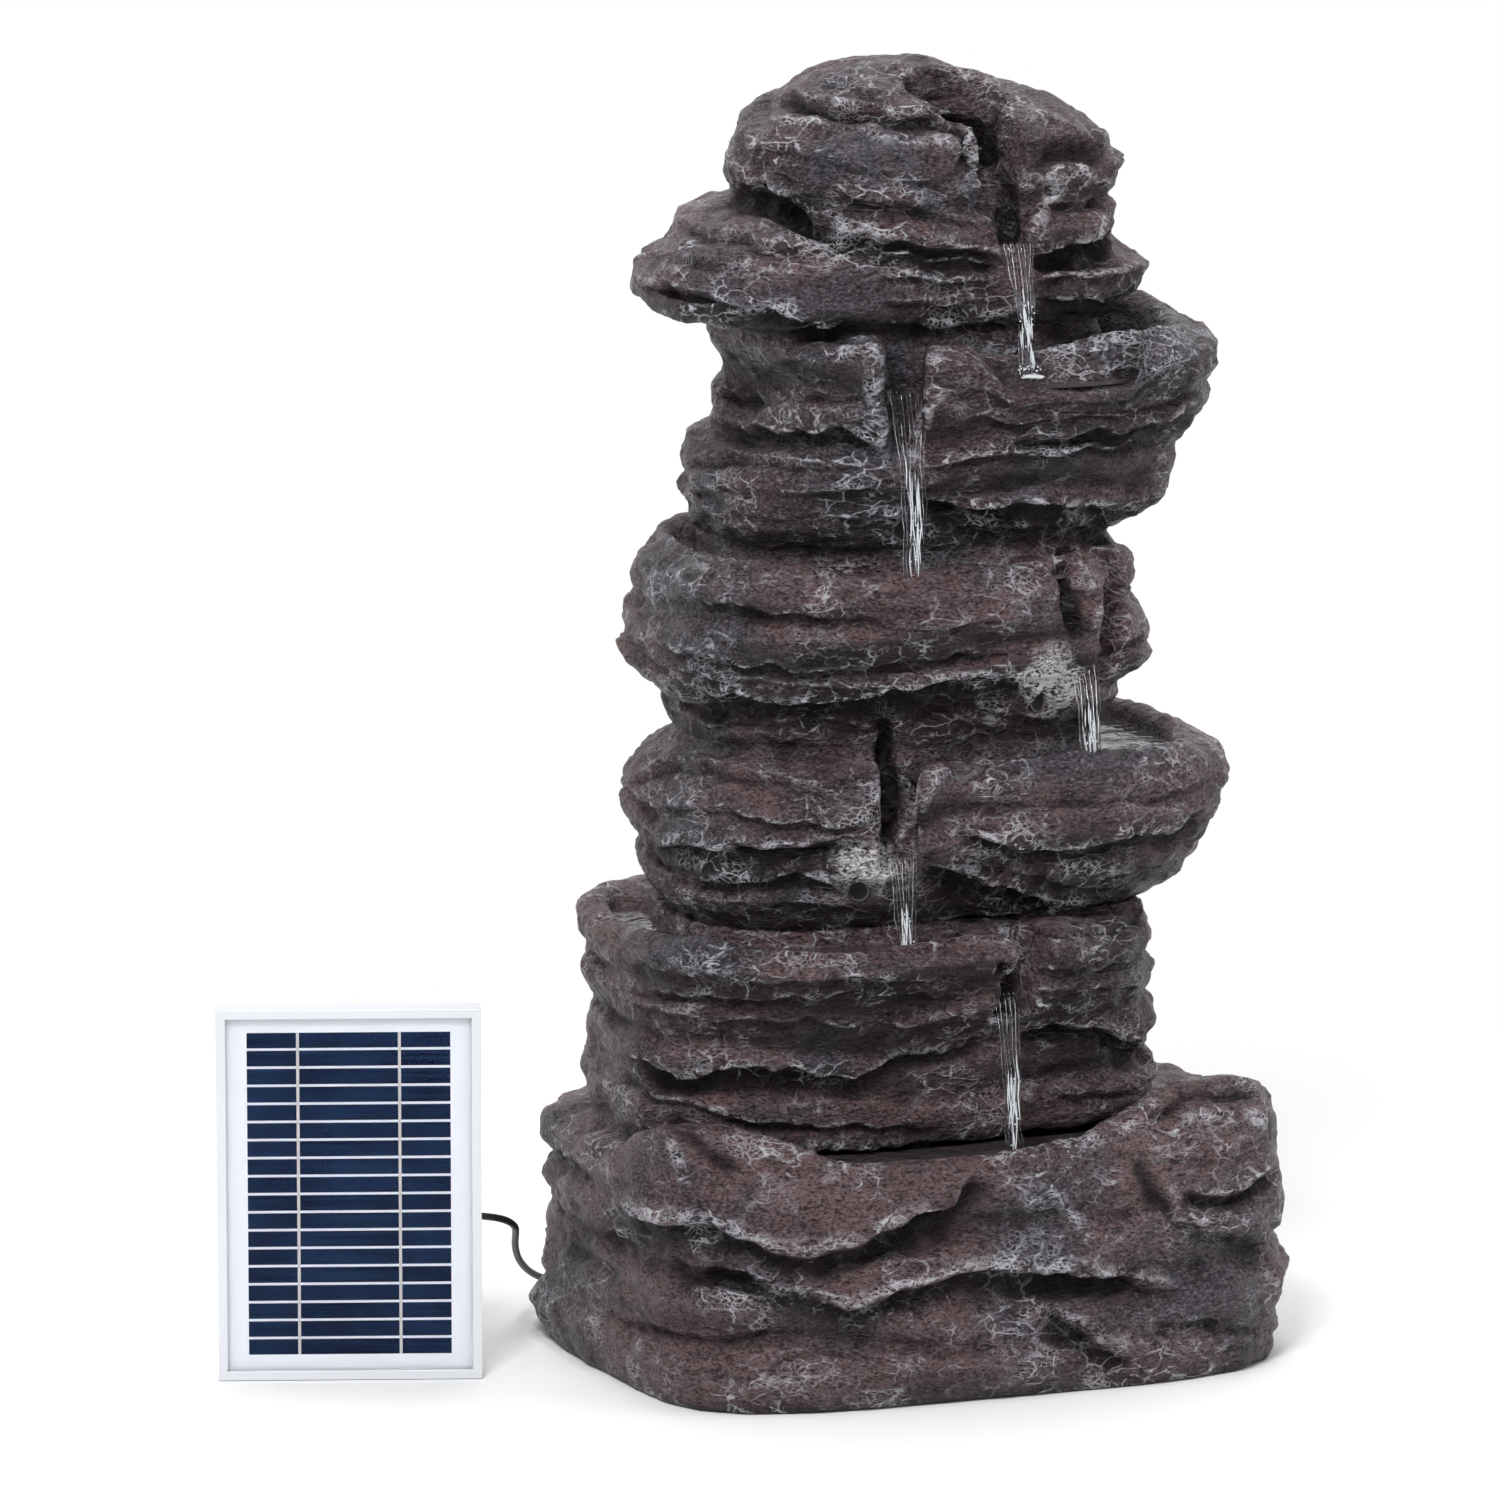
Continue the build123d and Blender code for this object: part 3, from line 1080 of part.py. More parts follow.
def make_box():
    outer = extrude(RectangleRounded(BOX_WIDTH, BOX_HEIGHT, BOX_CORNER), BOX_DEPTH)
    room = extrude(
        RectangleRounded(BOX_WIDTH - 2 * BOX_WALL, BOX_HEIGHT - 2 * BOX_WALL, BOX_CORNER - BOX_WALL),
        BOX_DEPTH - BOX_WALL,
    )
    case = facing_back(PANEL_X, LAMINATE_BACK_Y, BOX_MIDDLE_Z) * outer
    case -= facing_back(PANEL_X, LAMINATE_BACK_Y + BOX_WALL, BOX_MIDDLE_Z) * room
    post = Cylinder(LID_POST_DIAMETER / 2, BOX_DEPTH - BOX_WALL, align=UPWARDS)
    bore = Cylinder(LID_SCREW_DIAMETER / 2, LID_SCREW_LENGTH - LID_THICKNESS, align=INWARDS)
    for x, z in box_corners():
        case += facing_back(x, LAMINATE_BACK_Y + BOX_WALL, z) * post
        case -= facing_back(x, BOX_BACK_Y, z) * bore
    for i in (-1, 1):
        board_post = Cylinder(LID_POST_DIAMETER / 2, BOARD_POST, align=UPWARDS)
        x = PANEL_X + i * (BOARD_WIDTH / 2 - LID_POST_DIAMETER)
        case += facing_back(x, LAMINATE_BACK_Y + BOX_WALL, BUTTON_Z) * board_post
    groove_outer, groove_inner = (
        RectangleRounded(BOX_WIDTH - inset, BOX_HEIGHT - inset, BOX_CORNER - inset / 2)
        for inset in (SEAL_WIDTH, 3 * SEAL_WIDTH)
    )
    seal = extrude(groove_outer - groove_inner, SEAL_DEPTH)
    seal = facing_back(PANEL_X, BOX_BACK_Y - SEAL_DEPTH, BOX_MIDDLE_Z) * seal
    case -= seal
    gland_y = BOX_BACK_Y - GLAND_INSET
    gland_bore = Cylinder(CORD_DIAMETER / 2 + CORD_FIT, 4 * BOX_WALL)
    gland_frame = Plane(
        origin=(PANEL_X + BOX_WIDTH / 2, gland_y, GLAND_Z), z_dir=(1, 0, 0), x_dir=(0, 1, 0)
    )
    case -= gland_frame * gland_bore
    save_turned("control_box", case)
    save_turned("lid_seal", seal)

    lid = facing_back(PANEL_X, BOX_BACK_Y, BOX_MIDDLE_Z) * extrude(
        RectangleRounded(BOX_WIDTH, BOX_HEIGHT, BOX_CORNER), LID_THICKNESS
    )
    button_hole = Cylinder(BUTTON_DIAMETER / 2 + BUTTON_CLEARANCE, 2 * LID_THICKNESS + BUTTON_PROUD)
    lid -= facing_back(PANEL_X, BOX_BACK_Y, BUTTON_Z) * button_hole
    screws = []
    screw = Cylinder(LID_SCREW_DIAMETER / 2, LID_SCREW_LENGTH, align=INWARDS)
    screw += Cylinder(LID_SCREW_HEAD / 2, LID_THICKNESS / 2, align=INWARDS)
    for x, z in box_corners():
        place = facing_back(x, BOX_BACK_Y + LID_THICKNESS, z)
        lid -= place * screw
        screws.append(place * screw)
    save_turned("control_box_lid", lid)
    save_turned("lid_screws", *screws)

    cells = []
    for k in range(BATTERY_COUNT):
        z = BOX_BOTTOM_Z + BOX_WALL + BATTERY_DIAMETER / 2 + k * (BATTERY_DIAMETER + BATTERY_GAP)
        z += LID_SCREW_INSET + LID_POST_DIAMETER / 2 - BOX_WALL
        cell = Cylinder(BATTERY_DIAMETER / 2, BATTERY_LENGTH, rotation=(0, 90, 0))
        cells.append(Pos(PANEL_X, LAMINATE_BACK_Y + BOX_WALL + BATTERY_DIAMETER / 2, z) * cell)
    save_turned("battery_cells", *cells)

    board = Box(BOARD_WIDTH, BOARD_THICKNESS, BOARD_HEIGHT, align=FACING_BACK)
    board += Pos(0, BOARD_THICKNESS, 0) * Box(SWITCH_SIZE, SWITCH_HEIGHT, SWITCH_SIZE, align=FACING_BACK)
    save_turned("circuit_board", Pos(PANEL_X, BOARD_FRONT_Y, BUTTON_Z) * board)

    top_y = BOX_BACK_Y + LID_THICKNESS + BUTTON_PROUD
    flange_y = BOX_BACK_Y - BUTTON_CLEARANCE
    switch_y = BOARD_FRONT_Y + BOARD_THICKNESS + SWITCH_HEIGHT
    stem_length = flange_y - switch_y - BUTTON_TRAVEL - BUTTON_CLEARANCE
    button = facing_back(PANEL_X, flange_y, BUTTON_Z) * Cylinder(
        BUTTON_DIAMETER / 2, top_y - flange_y, align=UPWARDS
    )
    flange = Cylinder(BUTTON_FLANGE_DIAMETER / 2, BUTTON_FLANGE, align=INWARDS)
    button += facing_back(PANEL_X, flange_y, BUTTON_Z) * flange
    stem = Cylinder(BUTTON_STEM_DIAMETER / 2, stem_length, align=INWARDS)
    button += facing_back(PANEL_X, flange_y, BUTTON_Z) * stem
    save_turned("power_button", button)

    gland = Cylinder(GLAND_DIAMETER / 2, GLAND_NUT_LENGTH, align=UPWARDS)
    gland += Pos(0, 0, GLAND_NUT_LENGTH) * Cone(
        GLAND_DIAMETER / 2 - BOX_WALL / 2, GLAND_TIP_DIAMETER / 2, GLAND_TAPER_LENGTH, align=UPWARDS
    )
    gland -= Cylinder(CORD_DIAMETER / 2 + CORD_FIT, 4 * GLAND_TAPER_LENGTH)
    save_turned("cable_gland", gland_frame * gland)
    return (PANEL_TURN * Pos(gland_frame.origin)).position


# Fold-out foot under the panel's back

def make_foot():
    pin_y = PANEL_BACK_Y + BRACKET_PLATE + FOOT_BARREL / 2 + FOOT_SIDE_GAP
    pin_z = FOOT_BARREL / 2 + PAD_HEIGHT
    along = Plane(origin=(PANEL_X, pin_y, pin_z), z_dir=(1, 0, 0), x_dir=(0, 1, 0))

    foot = Pos(PANEL_X, pin_y, PAD_HEIGHT) * Box(
        FOOT_WIDTH, FOOT_LENGTH, FOOT_THICKNESS, align=(Align.CENTER, Align.MIN, Align.MIN)
    )
    foot = fillet(foot.edges().filter_by(Axis.Z).group_by(Axis.Y)[-1], FOOT_BARREL)
    foot += along * Cylinder(FOOT_BARREL / 2, FOOT_WIDTH)
    window_y = pin_y + FOOT_LENGTH / 2
    foot -= Pos(PANEL_X, window_y, 0) * Box(FOOT_SLOT_WIDTH, FOOT_SLOT_LENGTH, 4 * FOOT_THICKNESS)
    foot -= along * Cylinder(FOOT_PIN_DIAMETER / 2 + FOOT_PIN_CLEARANCE, 2 * FOOT_WIDTH)
    save_turned("stand_foot", foot)
    pads = []
    for i in (-1, 1):
        x = PANEL_X + i * (FOOT_WIDTH / 2 - PAD_DIAMETER)
        y = pin_y + FOOT_LENGTH - PAD_DIAMETER
        pads.append(Pos(x, y, 0) * Cylinder(PAD_DIAMETER / 2, PAD_HEIGHT, align=UPWARDS))
    save_turned("foot_pads", *pads)

    ear_x = FOOT_WIDTH / 2 + FOOT_SIDE_GAP
    plate_width = 2 * (ear_x + BRACKET_EAR)
    bracket = Pos(PANEL_X, PANEL_BACK_Y, PAD_HEIGHT) * Box(
        plate_width, BRACKET_PLATE, BRACKET_HEIGHT, align=(Align.CENTER, Align.MIN, Align.MIN)
    )
    for i in (-1, 1):
        x = PANEL_X + i * (ear_x + BRACKET_EAR / 2)
        ear = Pos(x, PANEL_BACK_Y, PAD_HEIGHT) * Box(
            BRACKET_EAR, pin_y - PANEL_BACK_Y, FOOT_BARREL, align=(Align.CENTER, Align.MIN, Align.MIN)
        )
        ear += Pos(x, pin_y, pin_z) * Cylinder(FOOT_BARREL / 2, BRACKET_EAR, rotation=(0, 90, 0))
        bracket += ear
    bracket -= along * Cylinder(FOOT_PIN_DIAMETER / 2, 2 * FOOT_WIDTH)
    screws = []
    screw = Cylinder(BRACKET_SCREW_DIAMETER / 2, BRACKET_PLATE + RAIL_SKIN, align=INWARDS)
    screw += Cylinder(BRACKET_SCREW_HEAD / 2, BRACKET_PLATE / 2, align=INWARDS)
    for i in (-1, 1):
        x = PANEL_X + i * (ear_x - BRACKET_SCREW_HEAD)
        z = PAD_HEIGHT + BRACKET_HEIGHT - BRACKET_SCREW_HEAD
        place = facing_back(x, PANEL_BACK_Y + BRACKET_PLATE, z)
        bracket -= place * screw
        screws.append(place * screw)
    save_turned("stand_bracket", bracket)
    save_turned("bracket_screws", *screws)
    save_turned("stand_pin", along * Cylinder(FOOT_PIN_DIAMETER / 2, plate_width))


# Cord: from the gland behind the tower, wound up there, and on to the grommet

def biarc(start, heading, end, leaving):
    """Two arcs that join two points with the given headings."""
    chord = end - start
    both = heading + leaving
    a = both.dot(both) - 4
    b = -2 * chord.dot(both)
    c = chord.dot(chord)
    if abs(a) > 1e-9:
        root = (b * b - 4 * a * c) ** 0.5
        step = max((-b - root) / (2 * a), (-b + root) / (2 * a))
    else:
        step = -c / b
    joint = (start + heading * step + end - leaving * step) / 2
    first = TangentArc(start, joint, tangent=heading)
    second = TangentArc(joint, end, tangent=first % 1)
    return [first.edge(), second.edge()]


def coil_stations():
    """Points and headings of the coil, one for each half turn, as it spirals in and out
    again and climbs a layer wherever the spiral turns back."""
    base_z = CORD_DIAMETER / 2 + COIL_LIFT
    step = COIL_PITCH / 2
    half_turns = 2 * COIL_TURNS_A_LAYER
    radius = COIL_INNER_RADIUS + half_turns * step
    radii = [radius]
    levels = [0]
    for layer in range(COIL_LAYERS):
        inward = layer % 2 == 0
        last = layer == COIL_LAYERS - 1
        for k in range(half_turns - 1 if last else half_turns):
            radius += -step if inward else step
            radii.append(radius)
            levels.append(layer)
        if not last:
            nudge = -COIL_CLIMB_STEP if inward else COIL_CLIMB_STEP
            radii[-1] += nudge
            radii.append(radii[-1])
            levels.append(layer + 1)
    stations = []
    for k, (distance, level) in enumerate(zip(radii, levels)):
        side = -1 if k % 2 == 0 else 1
        point = Vector(COIL_X, COIL_Y + side * distance, base_z + level * COIL_PITCH)
        stations.append((point, Vector(-side, 0, 0)))
    return stations


def make_cord(gland_origin, grommet_face_y):
    stations = coil_stations()
    first, heading = stations[0]
    last, leaving = stations[-1]
    edges = [Line(first - heading * CORD_DIAMETER, first).edge()]
    for (start, way), (end, next_way) in zip(stations, stations[1:]):
        edges += biarc(start, way, end, next_way)
    edges.append(Line(last, last + leaving * CORD_DIAMETER).edge())
    wire = Wire(edges)
    ring = Plane(origin=first - heading * CORD_DIAMETER, z_dir=heading) * Circle(CORD_DIAMETER / 2)
    coil = sweep(ring, path=wire)
    share = coil.volume / (pi * CORD_DIAMETER ** 2 / 4 * wire.length)
    print(f"cord coil: {wire.length:.0f} long, volume share {share:.4f}")
    count = round(wire.length / (CORD_DIAMETER / 2))
    points = [wire @ (k / count) for k in range(count + 1)]
    skip = round(1.5 * CORD_DIAMETER * pi / (wire.length / count))
    gap = min(
        (points[i] - points[j]).length for i in range(len(points)) for j in range(i + skip, len(points))
    ) - CORD_DIAMETER
    print(f"cord coil: least gap to itself {gap:.2f}")
    save("cord_coil", coil)

    outwards = Vector(1, 0, 0).rotate(Axis.Z, PANEL_YAW)
    grip = gland_origin + outwards * (GLAND_NUT_LENGTH + GLAND_TAPER_LENGTH - CORD_GRIP)
    lead_in = first - heading * CORD_DIAMETER
    panel_route = [tuple(grip)] + list(CORD_PANEL_POINTS) + [tuple(lead_in)]
    save("cord_to_panel", tube(panel_route, CORD_DIAMETER, report="cord to panel"))
    lead_out = last + leaving * CORD_DIAMETER
    grip_end = (GROMMET_X, grommet_face_y - CORD_GRIP, GROMMET_Z)
    tower_route = [tuple(lead_out)] + list(CORD_TOWER_POINTS) + [grip_end]
    save("cord_to_tower", tube(tower_route, CORD_DIAMETER, report="cord to tower"))

    hole = COIL_INNER_RADIUS - COIL_CLIMB_STEP - CORD_DIAMETER / 2
    inner = (hole ** 2 - (TIE_WIDTH / 2) ** 2) ** 0.5 - TIE_GAP
    outer_turn = COIL_INNER_RADIUS + COIL_TURNS_A_LAYER * COIL_PITCH + COIL_CLIMB_STEP
    outer = outer_turn + CORD_DIAMETER / 2 + TIE_GAP
    height = (COIL_LAYERS - 1) * COIL_PITCH + CORD_DIAMETER + 2 * TIE_GAP
    band = Box(outer - inner + 2 * TIE_THICKNESS, TIE_WIDTH, height + 2 * TIE_THICKNESS)
    band -= Box(outer - inner, 2 * TIE_WIDTH, height)
    lift = COIL_LIFT - TIE_GAP - TIE_THICKNESS + (height + 2 * TIE_THICKNESS) / 2
    save("coil_tie", Pos(COIL_X + (inner + outer) / 2, COIL_Y, lift) * band)


def main():
    make_rock()
    make_lamps()
    make_pump()
    make_riser()
    grommet_face_y = make_leads()
    make_panel()
    gland_origin = make_box()
    make_foot()
    make_cord(gland_origin, grommet_face_y)


main()
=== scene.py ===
import json
from math import cos, pi, radians, sin

import bmesh
import bpy
import numpy as np
from mathutils import Matrix, Vector, noise
from mathutils.bvhtree import BVHTree


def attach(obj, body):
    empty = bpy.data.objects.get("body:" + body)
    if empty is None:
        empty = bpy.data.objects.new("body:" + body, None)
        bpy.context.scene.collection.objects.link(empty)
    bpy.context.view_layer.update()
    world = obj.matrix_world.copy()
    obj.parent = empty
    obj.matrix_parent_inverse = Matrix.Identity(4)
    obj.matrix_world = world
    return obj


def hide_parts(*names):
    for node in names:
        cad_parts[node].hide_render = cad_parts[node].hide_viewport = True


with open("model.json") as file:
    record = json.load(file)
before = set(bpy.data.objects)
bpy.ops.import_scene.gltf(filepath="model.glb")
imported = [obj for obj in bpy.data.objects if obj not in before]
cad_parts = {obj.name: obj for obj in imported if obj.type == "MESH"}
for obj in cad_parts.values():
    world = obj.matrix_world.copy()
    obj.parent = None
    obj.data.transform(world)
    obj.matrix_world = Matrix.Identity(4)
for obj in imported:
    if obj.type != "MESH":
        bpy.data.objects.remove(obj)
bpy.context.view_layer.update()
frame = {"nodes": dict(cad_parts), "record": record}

# Solar cascade fountain. Metres, the frame's own axes: Z up, front towards -Y.
nodes = frame["nodes"]
MM = 0.001

# Camera
CAMERA_PLACE = Vector((-2.0995, -5.5131, 1.4282))
CAMERA_AIM = Vector((-0.0817, 0.0307, 0.3348))
SENSOR = 36.0
LENS = 264.96

camera = bpy.data.objects.new("camera", bpy.data.cameras.new("camera"))
bpy.context.scene.collection.objects.link(camera)
camera.location = CAMERA_PLACE
camera.rotation_euler = (CAMERA_AIM - CAMERA_PLACE).to_track_quat("-Z", "Y").to_euler()
camera.data.sensor_width = SENSOR
camera.data.lens = LENS
camera.data.clip_start = 0.1
camera.data.clip_end = 50.0
bpy.context.scene.camera = camera
bpy.context.scene.view_settings.view_transform = "Standard"


# Shader helpers

class Shader:
    """One material, built up from nodes."""

    def __init__(self, name, color, roughness, **values):
        self.material = bpy.data.materials.new(name)
        self.material.use_nodes = True
        self.tree = self.material.node_tree
        self.surface = self.tree.nodes["Principled BSDF"]
        self.surface.inputs["Base Color"].default_value = (*color, 1.0)
        self.surface.inputs["Roughness"].default_value = roughness
        for key, value in values.items():
            self.surface.inputs[key.replace("_", " ").title().replace("Ior", "IOR")].default_value = value
        self.place = self.add("ShaderNodeTexCoord").outputs["Object"]

    def add(self, kind, **settings):
        node = self.tree.nodes.new(kind)
        for key, value in settings.items():
            setattr(node, key, value)
        return node

    def link(self, source, socket):
        self.tree.links.new(source, socket)

    def stretched(self, scale, place=None):
        mapping = self.add("ShaderNodeMapping")
        mapping.inputs["Scale"].default_value = scale
        self.link(place or self.place, mapping.inputs["Vector"])
        return mapping.outputs["Vector"]

    def noise(self, scale, detail=4.0, rough=0.5, distortion=0.0, place=None, kind="FBM"):
        texture = self.add("ShaderNodeTexNoise", noise_type=kind)
        texture.inputs["Scale"].default_value = scale
        texture.inputs["Detail"].default_value = detail
        texture.inputs["Roughness"].default_value = rough
        texture.inputs["Distortion"].default_value = distortion
        self.link(place or self.place, texture.inputs["Vector"])
        return texture.outputs["Fac"]

    def warped(self, place, scale, amount):
        """The place pushed about by a noise, so that a pattern there has no straight lines."""
        texture = self.add("ShaderNodeTexNoise")
        texture.inputs["Scale"].default_value = scale
        texture.inputs["Detail"].default_value = 4.0
        self.link(place, texture.inputs["Vector"])
        shift = self.add("ShaderNodeVectorMath", operation="MULTIPLY_ADD")
        self.link(texture.outputs["Color"], shift.inputs[0])
        shift.inputs[1].default_value = (amount,) * 3
        self.link(place, shift.inputs[2])
        return shift.outputs["Vector"]

    def cell_edges(self, scale, place):
        """How far each point is from the nearest edge of a pattern of cells."""
        texture = self.add("ShaderNodeTexVoronoi", feature="DISTANCE_TO_EDGE")
        texture.inputs["Scale"].default_value = scale
        self.link(place, texture.inputs["Vector"])
        return texture.outputs["Distance"]

    def near(self, places, reach):
        """One at each of some places, falling to nought at the reach."""
        total = 0.0
        for place in places:
            apart = self.add("ShaderNodeVectorMath", operation="DISTANCE")
            self.link(self.place, apart.inputs[0])
            apart.inputs[1].default_value = tuple(c * MM for c in place)
            total = self.math("ADD", self.remap(apart.outputs["Value"], reach, 0.0), total)
        return total

    def remap(self, value, low, high, to_low=0.0, to_high=1.0):
        node = self.add("ShaderNodeMapRange")
        for key, number in (("From Min", low), ("From Max", high), ("To Min", to_low), ("To Max", to_high)):
            node.inputs[key].default_value = number
        self.link(value, node.inputs["Value"])
        return node.outputs["Result"]

    def math(self, operation, a, b):
        node = self.add("ShaderNodeMath", operation=operation)
        for socket, value in zip(node.inputs, (a, b)):
            if isinstance(value, (int, float)):
                socket.default_value = value
            else:
                self.link(value, socket)
        return node.outputs["Value"]

    def mix(self, factor, a, b):
        node = self.add("ShaderNodeMix", data_type="RGBA")
        self.link(factor, node.inputs["Factor"])
        for index, value in ((6, a), (7, b)):
            if isinstance(value, tuple):
                node.inputs[index].default_value = (*value, 1.0)
            else:
                self.link(value, node.inputs[index])
        return node.outputs[2]

    def attribute(self, name):
        return self.add("ShaderNodeAttribute", attribute_name=name).outputs["Fac"]

    def color(self, source):
        self.link(source, self.surface.inputs["Base Color"])

    def bump(self, height, distance, strength=1.0):
        node = self.add("ShaderNodeBump")
        node.inputs["Strength"].default_value = strength
        node.inputs["Distance"].default_value = distance
        self.link(height, node.inputs["Height"])
        self.link(node.outputs["Normal"], self.surface.inputs["Normal"])


def new_object(name, mesh):
    obj = bpy.data.objects.new(name, mesh)
    bpy.context.scene.collection.objects.link(obj)
    return obj


def object_from(bm, name, *materials):
    """The built mesh as an object of the scene, with its materials."""
    mesh = bpy.data.meshes.new(name)
    bm.to_mesh(mesh)
    bm.free()
    for material in materials:
        mesh.materials.append(material)
    return new_object(name, mesh)


# Cord: one line from the control box, through the coil behind the rock, to the tower

CORD_RADIUS = 2.0 * MM
COIL_CENTRE = (-8.0, 216.0)
COIL_INNER_RADIUS = 14.3
COIL_PITCH = 4.5
COIL_TURNS_A_LAYER = 4
COIL_LAYERS = 4
COIL_CLIMB_STEP = 0.9
COIL_BASE = 3.3
COIL_POINTS_A_HALF_TURN = 12
CORD_PANEL_POINTS = (
    (-256.7, 45.7, 86.0),
    (-244.5, 41.8, 86.0),
    (-231.5, 39.6, 85.0),
    (-218.6, 44.2, 81.2),
    (-208.2, 57.5, 73.8),
    (-201.5, 77.0, 65.0),
    (-193.5, 102.5, 51.5),
    (-181.5, 131.0, 36.0),
    (-164.0, 158.5, 20.5),
    (-141.0, 178.5, 9.5),
    (-111.5, 188.5, 4.0),
    (-78.0, 186.5, 2.8),
    (-44.0, 183.7, 3.3),
)
CORD_TOWER_POINTS = (
    (9.0, 185.95, 16.8),
    (24.0, 186.8, 20.0),
    (41.0, 187.0, 34.0),
    (56.0, 186.0, 56.0),
    (67.0, 185.0, 80.0),
    (75.0, 184.3, 104.0),
    (80.0, 183.5, 124.0),
    (82.3, 179.0, 142.0),
    (82.3, 167.5, 155.0),
    (82.0, 151.0, 158.0),
    (82.0, 135.08, 158.0),
)


def coil_points():
    """Coil as a spiral that goes in and out again and climbs a layer where it turns back."""
    step = COIL_PITCH / 2
    half_turns = 2 * COIL_TURNS_A_LAYER
    radii, levels = [COIL_INNER_RADIUS + half_turns * step], [0]
    for layer in range(COIL_LAYERS):
        inward = layer % 2 == 0
        last = layer == COIL_LAYERS - 1
        for _ in range(half_turns - 1 if last else half_turns):
            radii.append(radii[-1] + (-step if inward else step))
            levels.append(layer)
        if not last:
            radii[-1] += -COIL_CLIMB_STEP if inward else COIL_CLIMB_STEP
            radii.append(radii[-1])
            levels.append(layer + 1)
    count = COIL_POINTS_A_HALF_TURN
    shrink = 0.75 + 0.25 * cos(pi / count)
    points = []
    for k, (a, b) in enumerate(zip(zip(radii, levels), zip(radii[1:], levels[1:]))):
        for part in range(count):
            along = part / count
            radius = (a[0] + (b[0] - a[0]) * along) / shrink
            level = a[1] + (b[1] - a[1]) * along
            angle = -pi / 2 + pi * (k + along)
            points.append((
                COIL_CENTRE[0] + radius * cos(angle),
                COIL_CENTRE[1] + radius * sin(angle),
                COIL_BASE + level * COIL_PITCH,
            ))
    points.append((COIL_CENTRE[0], COIL_CENTRE[1] - radii[-1] / shrink, COIL_BASE + levels[-1] * COIL_PITCH))
    return points


def cord_curve(name, points, radius):
    curve = bpy.data.curves.new(name, "CURVE")
    curve.dimensions = "3D"
    curve.bevel_depth = radius
    curve.bevel_resolution = 4
    curve.resolution_u = 6
    curve.use_fill_caps = True
    spline = curve.splines.new("NURBS")
    spline.points.add(len(points) - 1)
    for point, co in zip(spline.points, points):
        point.co = (*(c * MM for c in co), 1.0)
    spline.order_u = 3
    spline.use_endpoint_u = True
    return new_object(name, curve)


sheath = Shader("cord_sheath", (0.012, 0.012, 0.013), 0.42)
sheath.bump(sheath.noise(900.0, 3.0), 0.0001)
cord = cord_curve("cord", list(CORD_PANEL_POINTS) + coil_points() + list(CORD_TOWER_POINTS), CORD_RADIUS)
cord.data.materials.append(sheath.material)
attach(cord, "fountain")
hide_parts("cord_to_panel", "cord_coil", "cord_to_tower")

# Rock: the tiers' CAD meshes joined into two castings, and the hatch, meshed evenly and weathered

VOXEL = 2.1 * MM
HATCH_VOXEL = 1.6 * MM
SMOOTH_ROUNDS = 14
NORMAL_ROUNDS = 6
BEND_ROUNDS = 2
HOLLOW_ROUNDS = 14
TOWER_AXIS_Y = 0.020
# Layers: height of a layer, depth of its groove, how far it wanders up and down, and over what length
LAYERS = (
    (0.0270, 0.0034, 0.022, 0.14),
    (0.0110, 0.0016, 0.012, 0.07),
)
FACET_SIZE = 0.042
FACET_DEPTH = 0.0050
CRUST_SIZE = 0.015
CRUST_DEPTH = 0.0010
GRAIN_SIZE = 0.0060
GRAIN_DEPTH = 0.0004
GRAIN_FRACTAL = (0.9, 2.1, 3)
# Slope of a layer's sides and its middle height, then where layers are strong and how they differ
LAYER_SLOPE = 3.2
LAYER_MIDDLE = 0.6
LAYER_PATCH = 0.7
LAYER_BASE = 0.4
LAYER_CHANGE = 1.5
LAYER_SHIFT = 3.7
LAYER_SEED = 11.0
DRIFT_SEED = 31.0
SMALL_FACET = 0.45
SMALL_FACET_SHARE = 0.5
FACET_MIDDLE = 0.35
CRUST_MIDDLE = 0.6
CRUST_SLOPE = 2.2
CRUST_SQUASH = 1.7
# How weathering goes with the way a face looks: outwards, up or down, and at the least
WEATHER_BASE = 0.35
WEATHER_OUTWARD = 0.9
WEATHER_LEVEL = 0.5
WEATHER_LEAST = 0.12
SEAT_FADE = 0.006
LAYERS_IN_FRONT = 0.3
HATCH_BOX = ((-0.060, 0.095, 0.143), (0.060, 0.200, 0.230))
HATCH_FACE_FROM = 0.5
HATCH_FACE_RANGE = 0.3

# Kinds of fold: the rise of the lip and the depth of the cut under it, in millimetres, and the
# reach of both, in pixels of the picture. A rise below nought cuts, and a cut below nought rises.
PICTURE = 1500
LEDGE = (2.5, 5.0, 7, 9)
SOFT = (1.8, 3.5, 6, 7)
DEEP = (3.0, 9.0, 9, 14)
OVERHANG = (3.5, 13.0, 12, 20)
BROAD = (4.0, 8.0, 18, 26)
GROOVE = (-5.0, 5.0, 10, 10)
SLIT = (-12.0, 12.0, 7, 7)
RIDGE = (3.5, -3.5, 10, 10)
PIT = (-16.0, 16.0, 17, 17)
CHANNEL = (-9.0, 9.0, 9, 9)
